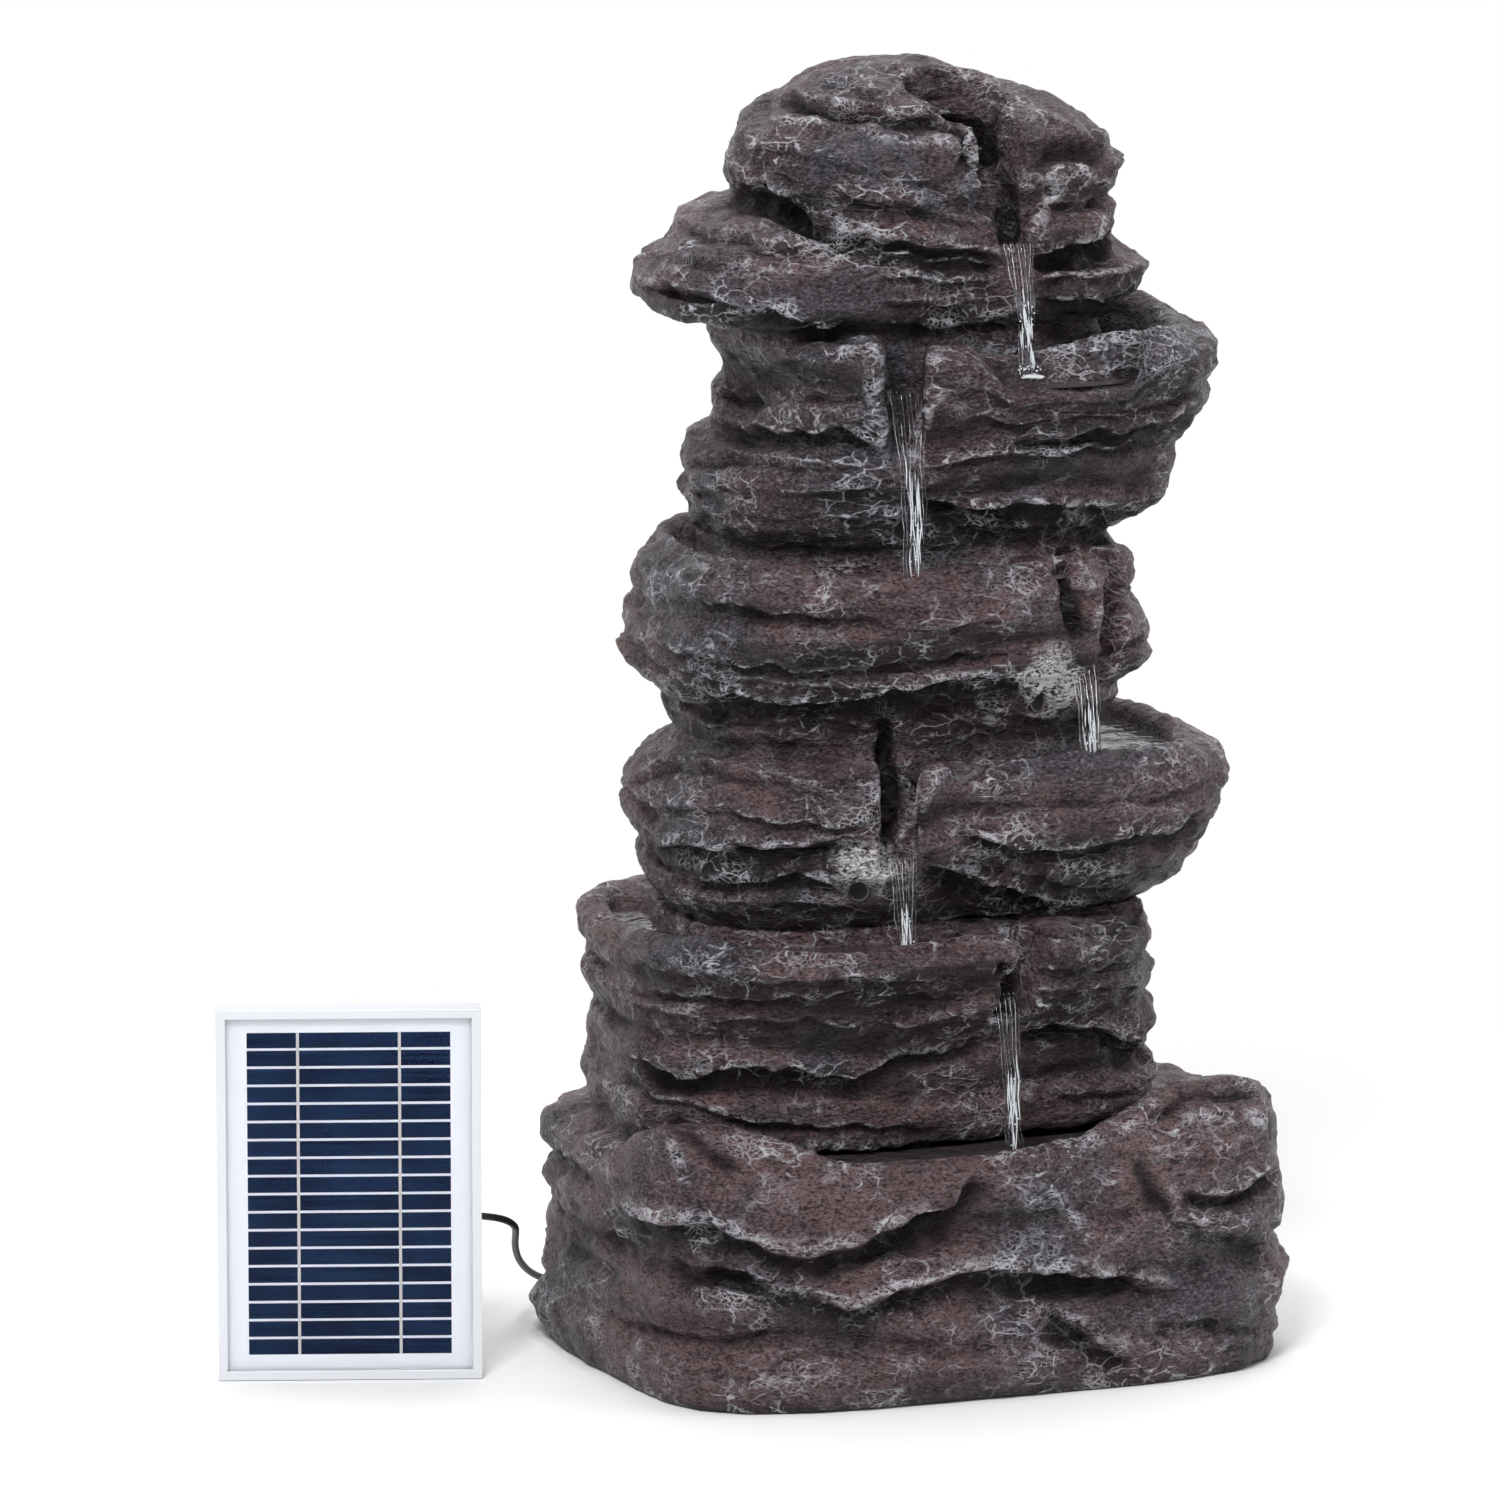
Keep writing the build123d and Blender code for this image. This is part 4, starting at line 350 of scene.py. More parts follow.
# Folds of the rock's front, drawn one by one: the kind, then the points that it runs through, in pixels
FOLDS = (
    # crown
    (PIT, (960, 148), (980, 154), (1000, 160)),
    (CHANNEL, (1000, 172), (1006, 205), (1008, 232), (1008, 252)),
    (DEEP, (752, 98), (800, 97), (850, 110), (885, 117), (925, 116), (968, 120), (1010, 122)),
    (RIDGE, (748, 116), (800, 117), (860, 130), (910, 139), (950, 142), (972, 162), (996, 192), (1004, 228)),
    (SOFT, (733, 150), (790, 152), (850, 165), (905, 178), (950, 190), (990, 215)),
    (SOFT, (745, 172), (800, 180), (850, 197), (910, 208), (960, 222), (1000, 238)),
    (SOFT, (812, 78), (850, 88), (880, 96), (900, 112)),
    (SOFT, (880, 62), (905, 80), (925, 95), (960, 88), (985, 76)),
    (RIDGE, (1014, 188), (1040, 171), (1066, 168), (1098, 180), (1120, 186)),
    (GROOVE, (1022, 168), (1050, 154), (1085, 152), (1112, 164)),
    (RIDGE, (1062, 172), (1052, 196), (1040, 222), (1034, 246)),
    (LEDGE, (1048, 208), (1085, 204), (1115, 202)),
    (OVERHANG, (722, 188), (765, 186), (802, 208), (840, 228), (880, 240), (930, 248), (1002, 254)),
    (OVERHANG, (1030, 256), (1060, 250), (1096, 240), (1112, 226)),
    # shoulder
    (LEDGE, (655, 222), (710, 232), (760, 245), (815, 248), (858, 243), (872, 228)),
    (SOFT, (640, 258), (700, 262), (760, 270), (820, 285)),
    (DEEP, (622, 282), (675, 287), (725, 302), (765, 311), (820, 325), (860, 330)),
    (LEDGE, (872, 258), (930, 262), (985, 268), (1004, 262)),
    (LEDGE, (872, 276), (920, 280), (982, 288), (1004, 284)),
    (LEDGE, (876, 301), (940, 306), (984, 298)),
    (SOFT, (872, 322), (930, 330), (990, 322), (1010, 330)),
    (LEDGE, (1030, 262), (1070, 256), (1132, 262)),
    (LEDGE, (1034, 282), (1085, 277), (1138, 276)),
    (LEDGE, (1036, 298), (1080, 302), (1134, 312)),
    (GROOVE, (1040, 334), (1080, 343), (1132, 342), (1170, 330)),
    # upper tier
    (RIDGE, (817, 358), (840, 343), (868, 344), (877, 370), (878, 420), (884, 466)),
    (RIDGE, (948, 380), (930, 402), (918, 432), (911, 468)),
    (SOFT, (706, 352), (750, 364), (812, 360)),
    (LEDGE, (706, 392), (760, 398), (820, 394), (872, 400)),
    (DEEP, (712, 424), (765, 431), (850, 428), (880, 440)),
    (LEDGE, (672, 468), (730, 456), (800, 461), (876, 470)),
    (SOFT, (668, 492), (740, 488), (800, 494), (880, 492)),
    (SOFT, (950, 392), (1000, 378), (1060, 376), (1130, 378), (1212, 356)),
    (LEDGE, (962, 424), (1012, 412), (1075, 404), (1140, 408), (1214, 384)),
    (DEEP, (1002, 446), (1060, 436), (1110, 434), (1160, 424), (1204, 402)),
    (LEDGE, (916, 470), (980, 458), (1050, 458), (1120, 446), (1170, 440)),
    (OVERHANG, (908, 497), (980, 512), (1025, 503), (1085, 504), (1130, 512), (1172, 492)),
    (SOFT, (840, 520), (900, 516), (980, 534), (1050, 530), (1120, 535)),
    (SOFT, (700, 512), (760, 520), (830, 516), (880, 524)),
    # middle left tier
    (SLIT, (1058, 546), (1066, 572), (1072, 600), (1083, 640)),
    (RIDGE, (1052, 545), (1078, 566), (1096, 596), (1088, 634)),
    (LEDGE, (1100, 648), (1130, 641), (1156, 628)),
    (SOFT, (1100, 600), (1130, 606), (1152, 618)),
    (SOFT, (652, 596), (725, 606), (800, 615), (880, 621), (950, 630), (1048, 616)),
    (LEDGE, (622, 632), (675, 652), (750, 667), (825, 672), (910, 663), (960, 652), (1052, 650)),
    (SOFT, (640, 660), (700, 676), (780, 686), (850, 686), (930, 676)),
    (OVERHANG, (652, 682), (725, 696), (815, 702), (900, 692), (1000, 672), (1062, 668)),
    (SOFT, (680, 722), (760, 726), (830, 722), (880, 728)),
    (SOFT, (900, 716), (960, 706), (1020, 716), (1075, 722)),
    # middle right tier
    (SLIT, (884, 716), (889, 780), (882, 838)),
    (LEDGE, (620, 782), (675, 762), (750, 772), (825, 790), (876, 800)),
    (LEDGE, (632, 806), (700, 806), (765, 824), (835, 830), (876, 820)),
    (OVERHANG, (642, 852), (725, 848), (800, 848), (850, 838), (882, 850)),
    (RIDGE, (948, 766), (922, 798), (908, 838), (922, 862)),
    (SOFT, (950, 792), (1010, 806), (1080, 800), (1150, 800), (1222, 778)),
    (DEEP, (948, 824), (1015, 850), (1100, 846), (1170, 832), (1218, 806)),
    (SOFT, (960, 852), (1020, 876), (1090, 886), (1150, 868)),
    (OVERHANG, (920, 864), (980, 882), (1050, 902), (1120, 912), (1152, 896), (1198, 858)),
    (LEDGE, (660, 880), (730, 884), (800, 880), (860, 888)),
    (SOFT, (930, 906), (990, 914), (1060, 930), (1130, 932)),
    # lower tier
    (SLIT, (1004, 956), (1003, 993), (1012, 1024)),
    (SOFT, (600, 958), (680, 976), (762, 986), (851, 980), (929, 982), (986, 974)),
    (LEDGE, (606, 984), (679, 994), (762, 1003), (851, 994), (929, 998), (984, 990)),
    (SOFT, (601, 1000), (707, 1022), (790, 1022), (851, 1026), (929, 1022), (979, 1018)),
    (DEEP, (612, 1052), (679, 1080), (762, 1070), (851, 1082), (896, 1056), (957, 1044), (996, 1044)),
    (LEDGE, (606, 1070), (668, 1100), (729, 1117), (818, 1128), (929, 1128)),
    (LEDGE, (1016, 962), (1062, 972), (1110, 966), (1148, 956)),
    (SOFT, (1016, 998), (1070, 990), (1148, 984)),
    (OVERHANG, (1012, 1034), (1057, 1026), (1096, 1028), (1140, 1044), (1156, 1028)),
    (SOFT, (1020, 1086), (1080, 1096), (1140, 1092)),
    # basin
    (GROOVE, (664, 1120), (706, 1148), (738, 1174)),
    (RIDGE, (672, 1126), (678, 1160), (688, 1192)),
    (RIDGE, (742, 1176), (762, 1156), (830, 1142), (900, 1148), (962, 1152), (1030, 1148), (1134, 1142)),
    (
        BROAD, (590, 1190), (640, 1221), (707, 1228), (751, 1244), (790, 1261), (840, 1250), (901, 1228),
        (962, 1204), (982, 1172),
    ),
    (
        BROAD, (640, 1258), (734, 1272), (807, 1294), (851, 1310), (896, 1294), (962, 1272), (1040, 1275),
        (1123, 1278), (1200, 1290),
    ),
    (GROOVE, (1000, 1176), (929, 1221), (873, 1249), (807, 1288)),
    (RIDGE, (1036, 1166), (1070, 1212), (1098, 1250)),
    (GROOVE, (1130, 1146), (1150, 1193), (1196, 1238), (1266, 1249)),
    (RIDGE, (1166, 1140), (1196, 1112), (1236, 1112), (1276, 1124)),
    (GROOVE, (1150, 1128), (1184, 1104), (1226, 1094), (1270, 1100)),
    (DEEP, (1186, 1190), (1229, 1200), (1272, 1170)),
    (BROAD, (1050, 1306), (1096, 1343), (1136, 1358)),
    (SOFT, (756, 1371), (796, 1354), (851, 1349), (905, 1362)),
    (GROOVE, (548, 1214), (573, 1249), (622, 1284)),
    (SOFT, (600, 1310), (660, 1330), (720, 1336), (780, 1330)),
    (SOFT, (1150, 1330), (1210, 1322), (1268, 1330)),
)
# Dip in the front rim of the upper bowl, in metres
RIM_DIP = 0.022
RIM_DIP_MIDDLE = 0.055
RIM_DIP_HALF = 0.060
RIM_DIP_EASE = 0.030
RIM_DIP_FROM = 0.520
RIM_DIP_TO = 0.566
RIM_TOP = 0.577
RIM_FADE = 0.003
RIM_INSIDE_Y = -0.079
# Blend across a fold's edge, in pixels, and the taper at its ends, as a share of its length
EDGE_BLEND = 3.0
FOLD_TAPER = 0.16
TAPER_POWER = 0.7
# How far a fold wanders, in pixels, and over what length, in metres
FOLD_WANDER = 7.0
FOLD_WANDER_SIZE = 0.016
WANDER_SHIFT = Vector((9.0, 5.0, 2.0))
# Folds show where a face looks at the camera by more than this, in full over the range
SEEN_FROM = 0.12
SEEN_RANGE = 0.3


def evenly_meshed(name, parts, voxel):
    """One even mesh of several CAD nodes, softened a little."""
    bm = bmesh.new()
    for part in parts:
        bm.from_mesh(nodes[part].data)
    obj = object_from(bm, name)
    remesh = obj.modifiers.new("remesh", "REMESH")
    remesh.mode = "VOXEL"
    remesh.voxel_size = voxel
    smooth = obj.modifiers.new("smooth", "SMOOTH")
    smooth.iterations = SMOOTH_ROUNDS
    smooth.factor = 0.5
    depsgraph = bpy.context.evaluated_depsgraph_get()
    made = bpy.data.meshes.new_from_object(obj.evaluated_get(depsgraph))
    obj.modifiers.clear()
    obj.data = made
    made.name = name
    return obj


def relief(x, y, z):
    """Height of the layers between grooves at a place, and of its facets, crust and grain."""
    place = Vector((x, y, z))
    layers = 0.0
    for k, (height, depth, wander, length) in enumerate(LAYERS):
        drift = noise.noise(Vector((x / length, y / length, z / (2 * length) + DRIFT_SEED * k)))
        level = (z + wander * drift) / height
        layer = level % 1.0
        shape = min(1.0, LAYER_SLOPE * min(layer, 1.0 - layer)) - LAYER_MIDDLE
        patch = LAYER_PATCH * length
        strength = noise.noise(Vector((x / patch, y / patch, level // 1.0 * LAYER_SHIFT + LAYER_SEED * k)))
        layers += depth * shape * min(1.0, max(0.0, LAYER_BASE + LAYER_CHANGE * strength))
    facet = abs(noise.noise(place / FACET_SIZE))
    facet += SMALL_FACET_SHARE * abs(noise.noise(place / (SMALL_FACET * FACET_SIZE)))
    offset = FACET_DEPTH * (facet - FACET_MIDDLE)
    crust = abs(noise.noise(Vector((x, y, CRUST_SQUASH * z)) / CRUST_SIZE))
    offset += CRUST_DEPTH * (CRUST_MIDDLE - crust * CRUST_SLOPE)
    offset += GRAIN_DEPTH * noise.fractal(place / GRAIN_SIZE, *GRAIN_FRACTAL)
    return layers, offset


def lowered(co):
    """How far the front rim of the upper bowl dips, so that the fall above it shows down to its foot."""
    across = np.clip((RIM_DIP_HALF - np.abs(co[:, 0] - RIM_DIP_MIDDLE)) / RIM_DIP_EASE, 0.0, 1.0)
    up = np.clip((co[:, 2] - RIM_DIP_FROM) / (RIM_DIP_TO - RIM_DIP_FROM), 0.0, 1.0)
    above = np.clip((RIM_TOP - co[:, 2]) / RIM_FADE, 0.0, 1.0)
    out = np.clip((RIM_INSIDE_Y - co[:, 1]) / RIM_FADE, 0.0, 1.0)
    smooth = across * across * (3.0 - 2.0 * across)
    return RIM_DIP * smooth * up * above * out


def weathering(co, normal):
    """How strongly each point weathers: fully outside, little on inner walls, not at all at a seat."""
    radial = co - np.array((0.0, TOWER_AXIS_Y, 0.0))
    radial[:, 2] = 0.0
    radial /= np.maximum(np.linalg.norm(radial, axis=1, keepdims=True), 1e-6)
    facing = (radial * normal).sum(1)
    weight = WEATHER_BASE + WEATHER_OUTWARD * facing + WEATHER_LEVEL * np.abs(normal[:, 2])
    weight = np.clip(weight, WEATHER_LEAST, 1.0)
    low, high = (np.array(corner) for corner in HATCH_BOX)
    in_hatch = ((co > low) & (co < high)).all(1)
    flat = np.clip((normal[:, 1] - HATCH_FACE_FROM) / HATCH_FACE_RANGE, 0.0, 1.0)
    weight = np.where(in_hatch, weight * flat, weight)
    return weight * np.clip(co[:, 2] / SEAT_FADE, 0.0, 1.0)


def picture_places(co):
    """Where each point falls in the camera's picture."""
    ahead = (CAMERA_AIM - CAMERA_PLACE).normalized()
    right = ahead.cross(Vector((0.0, 0.0, 1.0))).normalized()
    above = right.cross(ahead)
    away = co - np.array(CAMERA_PLACE)
    scale = PICTURE * LENS / SENSOR / (away @ np.array(ahead))
    return PICTURE / 2 + scale * (away @ np.array(right)), PICTURE / 2 - scale * (away @ np.array(above))


def fold_height(px, py, kind, points):
    """Rise and cut of one fold at each place of the picture."""
    lip, cut, lip_reach, cut_reach = kind
    near = np.full(len(px), np.inf)
    signed = np.full(len(px), np.inf)
    along = np.zeros(len(px))
    done = 0.0
    for a, b in zip(points, points[1:]):
        run = np.array(b, float) - np.array(a, float)
        length = np.linalg.norm(run)
        part = np.clip(((px - a[0]) * run[0] + (py - a[1]) * run[1]) / length ** 2, 0.0, 1.0)
        dx, dy = px - a[0] - part * run[0], py - a[1] - part * run[1]
        distance = np.hypot(dx, dy)
        closer = distance < near
        side = np.where(run[0] * dy - run[1] * dx > 0, 1.0, -1.0)
        near = np.where(closer, distance, near)
        signed = np.where(closer, side * distance, signed)
        along = np.where(closer, done + part * length, along)
        done += length
    below = np.clip(0.5 + signed / (2 * EDGE_BLEND), 0.0, 1.0)
    rise = lip * np.exp(-(np.minimum(signed, 0.0) / lip_reach) ** 2)
    fall = -cut * np.exp(-(np.maximum(signed, 0.0) / cut_reach) ** 2)
    taper = np.clip(np.minimum(along, done - along) / (FOLD_TAPER * done), 0.0, 1.0) ** TAPER_POWER
    return (rise * (1.0 - below) + fall * below) * taper * MM


def folds(co, normal):
    """Height of all the folds drawn on the front, and how far each point faces the camera."""
    px, py = picture_places(co)
    wander = np.array([
        (noise.noise(place / FOLD_WANDER_SIZE), noise.noise(place / FOLD_WANDER_SIZE + WANDER_SHIFT))
        for place in map(Vector, co.tolist())
    ])
    px, py = px + FOLD_WANDER * wander[:, 0], py + FOLD_WANDER * wander[:, 1]
    back = np.array((CAMERA_PLACE - CAMERA_AIM).normalized())
    seen = np.clip((normal @ back - SEEN_FROM) / SEEN_RANGE, 0.0, 1.0)
    places = np.flatnonzero(seen)
    height = np.zeros(len(co))
    for kind, *points in FOLDS:
        reach = 3 * max(kind[2:])
        xs, ys = zip(*points)
        inside = (
            (px[places] > min(xs) - reach) & (px[places] < max(xs) + reach)
            & (py[places] > min(ys) - reach) & (py[places] < max(ys) + reach)
        )
        some = places[inside]
        height[some] += fold_height(px[some], py[some], kind, points)
    return height * seen, seen


def neighbour_mean(values, edges):
    """Mean of each point's neighbours along the edges."""
    total = np.zeros_like(values)
    for a, b in ((0, 1), (1, 0)):
        for axis in range(values.shape[1]):
            total[:, axis] += np.bincount(edges[:, a], values[edges[:, b], axis], len(values))
    degree = np.bincount(edges.ravel(), minlength=len(values))
    return total / np.maximum(degree, 1)[:, None]


def vectors(collection, key):
    """One row of three numbers for each item of a mesh's collection."""
    flat = np.empty(len(collection) * 3)
    collection.foreach_get(key, flat)
    return flat.reshape(-1, 3)


def rock_piece(name, parts, material, voxel=VOXEL, body="fountain"):
    """Weathered rock over some CAD nodes, with what its paint and its painted shade go by kept on its
    points.
    """
    obj = evenly_meshed(name, parts, voxel)
    mesh = obj.data
    co = vectors(mesh.vertices, "co")
    edges = np.empty(len(mesh.edges) * 2, int)
    mesh.edges.foreach_get("vertices", edges)
    edges = edges.reshape(-1, 2)
    normal = vectors(mesh.vertices, "normal")
    for _ in range(NORMAL_ROUNDS):
        normal = neighbour_mean(normal, edges)
    normal /= np.maximum(np.linalg.norm(normal, axis=1, keepdims=True), 1e-9)
    # How far each face looks down, for the painted shade on undersides
    under = np.clip(-normal[:, 2:], 0.0, 1.0)
    layers, offset = np.array([relief(*point) for point in co.tolist()]).T
    drawn, seen = folds(co, normal)
    offset += drawn + layers * (1.0 - (1.0 - LAYERS_IN_FRONT) * seen)
    co += normal * (offset * weathering(co, normal))[:, None]
    co[:, 2] = np.maximum(co[:, 2] - lowered(co), 0.0)
    mesh.vertices.foreach_set("co", co.ravel())
    mesh.update()
    normal = vectors(mesh.vertices, "normal")
    bend = ((co - neighbour_mean(co, edges)) * normal).sum(1, keepdims=True) / voxel
    for _ in range(BEND_ROUNDS):
        bend = 0.5 * bend + 0.5 * neighbour_mean(bend, edges)
    wide = bend.copy()
    for _ in range(HOLLOW_ROUNDS):
        wide = neighbour_mean(wide, edges)
    # edge_wear and the folds' lips guide the worn paint; hollow, underside and the folds' cuts guide painted
    # shade
    kept = (("edge_wear", bend), ("hollow", -wide), ("underside", under), ("fold", drawn / MM))
    for key, values in kept:
        attribute = mesh.attributes.new(key, "FLOAT", "POINT")
        attribute.data.foreach_set("value", values.ravel())
    mesh.polygons.foreach_set("use_smooth", [True] * len(mesh.polygons))
    mesh.materials.append(material)
    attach(obj, body)
    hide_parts(*parts)


BROWN = (0.084, 0.050, 0.055)
RED_BROWN = (0.142, 0.084, 0.088)
DARK = (0.006, 0.003, 0.004)
BLUE_GREY = (0.050, 0.053, 0.068)
DRY_BRUSH = (0.20, 0.165, 0.18)
WEAR = (0.60, 0.60, 0.65)
PALE_BROWN = (0.165, 0.100, 0.104)
# Places where the rock is painted paler, as a painted highlight on the jutting shoulder, in millimetres
PALE_PLACES = ((-105.0, -50.0, 600.0),)
PALE_REACH = 0.085
LIT = (0.86, 0.85, 0.84)
# Places where the lamps' light is painted into the rock's colour, in millimetres
LIT_PLACES = ((57.0, -70.0, 379.0), (44.0, -78.0, 393.0), (-56.0, -72.0, 291.0))
LIT_REACH = 0.021

# Noises of the rock: scale, detail, roughness and distortion
PITS = (150.0, 6.0, 0.7, 0.5)
GRAIN = (430.0, 3.0, 0.62, 0.3)
COARSE = (48.0, 5.0, 0.6, 0.8)
STRATA = (34.0, 5.0, 0.62, 0.4)
PATCHES = (10.0, 3.0, 0.55, 0.6)
TINT = (16.0, 4.0)
BRUSH = (22.0, 5.0, 0.65, 0.4)
LYING = (1.0, 1.0, 1.7)
STRATA_STRETCH = (0.8, 0.8, 3.6)
CRUMPLE = (45.0, 0.022)
BIG_CELLS = 62.0
SMALL_CELLS = 250.0
# Heights between which the rock is dimmer, in metres
DIM_FOOT = (0.44, 0.48)
DIM_HEAD = (0.61, 0.57)
DIM_CROWN = (0.625, 0.645)
DIM_SHARE = 0.35
PALE_SHARE = 0.8
SMALL_LINE_SHARE = 0.75
MOST_WEAR = 0.85
LIT_GAIN = 2.6
MOST_LIT = 0.95
# Shares of the noises in the rock's bump, and its depth in metres
PITS_BUMP = 1.2
COARSE_BUMP = 1.3
STRATA_BUMP = 1.5
GRAIN_BUMP = 0.32
CRESTS_BUMP = 0.42
ROCK_BUMP = 0.0034

rock = Shader("cast_rock", BROWN, 0.36, specular_ior_level=0.26)
lying = rock.stretched(LYING)
crumpled = rock.warped(lying, *CRUMPLE)
big_edges = rock.cell_edges(BIG_CELLS, crumpled)
small_edges = rock.cell_edges(SMALL_CELLS, crumpled)
pitted = rock.noise(*PITS, lying)
grain = rock.noise(*GRAIN, lying)
coarse = rock.noise(*COARSE, lying)
strata = rock.noise(*STRATA, rock.stretched(STRATA_STRETCH))
patches = rock.noise(*PATCHES)
hollow = rock.attribute("hollow")
fold = rock.attribute("fold")
axes = rock.add("ShaderNodeSeparateXYZ")
rock.link(rock.place, axes.inputs[0])
level = axes.outputs["Z"]
big_lines = rock.math("MULTIPLY", rock.remap(big_edges, 0.055, 0.01), rock.remap(pitted, 0.43, 0.53))
small_lines = rock.math("MULTIPLY", rock.remap(small_edges, 0.13, 0.02), rock.remap(coarse, 0.47, 0.58))
lines = rock.math("MAXIMUM", big_lines, rock.math("MULTIPLY", small_lines, SMALL_LINE_SHARE))
dim = rock.math("MULTIPLY", rock.remap(level, *DIM_FOOT), rock.remap(level, *DIM_HEAD))
dim = rock.math("MAXIMUM", dim, rock.remap(level, *DIM_CROWN))
# Painted highlight: the jutting shoulder is painted paler
pale = rock.math("MULTIPLY", rock.near(PALE_PLACES, PALE_REACH), PALE_SHARE)
color = rock.mix(rock.remap(rock.noise(*TINT), 0.38, 0.62), BROWN, RED_BROWN)
color = rock.mix(rock.remap(level, 0.18, 0.12, 0.0, 0.6), color, PALE_BROWN)
color = rock.mix(pale, color, PALE_BROWN)
color = rock.mix(rock.math("MULTIPLY", dim, DIM_SHARE), color, DARK)
# Coats of paint and painted shade: what each goes by, where it starts and is full, how strong it is, and its
# colour; the hollow, fold and underside rows are painted shade
for source, start, full, strength, tone in (
    (patches, 0.50, 0.62, 0.8, BLUE_GREY),
    (strata, 0.47, 0.35, 0.6, DARK),
    (pitted, 0.46, 0.34, 0.85, DARK),
    (grain, 0.49, 0.37, 0.85, DARK),
    (grain, 0.54, 0.64, 0.65, DRY_BRUSH),
    # Painted shade: darker in wide hollows, in the cuts under the folds' lips and on faces that look down
    (hollow, 0.0, 0.08, 0.9, DARK),
    (fold, -1.2, -5.5, 0.95, DARK),
    (rock.attribute("underside"), 0.05, 0.6, 0.85, DARK),
):
    color = rock.mix(rock.remap(source, start, full, 0.0, strength), color, tone)
worn_edge = rock.remap(rock.attribute("edge_wear"), 0.10, 0.28)
worn = rock.math("MAXIMUM", worn_edge, rock.remap(fold, 1.2, 3.2, 0.0, 0.8))
brushed = rock.remap(rock.noise(*BRUSH), 0.47, 0.57, 0.05, 1.0)
raised = rock.remap(hollow, -0.05, 0.03, 1.0, 0.2)
wear = rock.math("MULTIPLY", rock.math("MULTIPLY", lines, brushed), raised)
rubbed = rock.math("MAXIMUM", rock.remap(pitted, 0.50, 0.62, 0.0, 0.8), lines)
wear = rock.math("MINIMUM", rock.math("ADD", wear, rock.math("MULTIPLY", worn, rubbed)), MOST_WEAR)
color = rock.mix(wear, color, WEAR)
speckle = rock.math("MULTIPLY", rock.remap(grain, 0.42, 0.54), rock.remap(pitted, 0.40, 0.54, 0.1, 1.0))
# Painted lamp light: the rock's colour is paled in speckles and lines near the lamps
lit = rock.math("MULTIPLY", rock.near(LIT_PLACES, LIT_REACH), rock.math("MAXIMUM", speckle, lines))
rock.color(rock.mix(rock.math("MINIMUM", rock.math("MULTIPLY", lit, LIT_GAIN), MOST_LIT), color, LIT))
big_crests = rock.remap(big_edges, 0.30, 0.0)
crests = rock.math("ADD", big_crests, rock.remap(small_edges, 0.35, 0.0, 0.0, 0.40))
height = rock.math("MULTIPLY", pitted, PITS_BUMP)
for source, share in (
    (coarse, COARSE_BUMP), (strata, STRATA_BUMP), (grain, GRAIN_BUMP), (crests, CRESTS_BUMP),
):
    height = rock.math("ADD", height, rock.math("MULTIPLY", source, share))
rock.bump(height, ROCK_BUMP)

rock_piece("lower_rock", ("base_basin", "lower_tier"), rock.material)
rock_piece(
    "upper_rock",
    ("middle_right_tier", "middle_left_tier", "upper_tier", "shoulder_tier", "crown_rock"),
    rock.material,
)
rock_piece("pump_hatch_rock", ("pump_hatch",), rock.material, HATCH_VOXEL, "hatch")

# Water

# Falls: where each leaves its lip, where it lands, and its width at both, in millimetres
FALLS = (
    ("fall_crown", (29.0, -82.0, 622.0), (31.0, -95.0, 551.0), 15.0, 7.0),
    ("fall_upper", (-33.0, -78.0, 546.0), (-34.0, -96.0, 434.0), 19.0, 9.0),
    ("fall_middle_left", (73.0, -68.0, 391.0), (74.0, -84.0, 321.0), 13.0, 9.0),
    ("fall_middle_right", (-36.0, -82.0, 293.0), (-38.0, -94.0, 228.0), 14.0, 9.0),
    ("fall_lower", (25.0, -77.0, 214.0), (25.0, -95.0, 118.0), 12.0, 7.0),
)
FALL_RINGS = 44
STRANDS = 5
STRAND_RADIUS = 1.0
STREAKS = 20
STREAK_RADIUS = 0.30
DROPS = 16
DROP_RADIUS = 0.55
SPLASH_DROPS = 16
SPLASH_REACH = 9.0
SPLASH_SHARES = (0.75, 0.35, 0.12)
SPLASH_AT = Vector((2.0, 0.0, 1.0))
SPLASH_RISE = 9.0
SPLASH_RIPPLE = 1.2
SPLASH_RIPPLE_SCALE = 260.0
GOLDEN_TURN = 0.618
TUBE_SIDES = 8
# How a fall narrows, sways and bellies out on its way down
NARROWING = 2.2
SWAY = 3.0
SWAY_LENGTH = 26.0
BULGE = 0.55
BULGE_LENGTH = 7.0
STRAND_SHIFT = 0.6
STRAND_FLAT = 0.7

water = Shader("water", (0.96, 0.98, 1.0), 0.03, transmission_weight=1.0, ior=1.12)
water.bump(water.noise(160.0, 3.0, 0.5, 0.0, water.stretched((1.0, 1.0, 0.3))), 0.0012, 0.5)
# White of the falls: painted glints for the streaks and drops, and froth for the splash
foam_and_glint = Shader("foam_and_glint", (0.80, 0.84, 0.88), 0.2, transmission_weight=0.35)
foam_and_glint.bump(foam_and_glint.noise(600.0, 3.0), 0.0003, 0.6)
pool_water = Shader("pool_water", (0.075, 0.062, 0.066), 0.05, transmission_weight=0.3, ior=1.333)
pool_water.bump(pool_water.noise(45.0, 3.0, 0.5, 0.8), 0.004, 0.8)


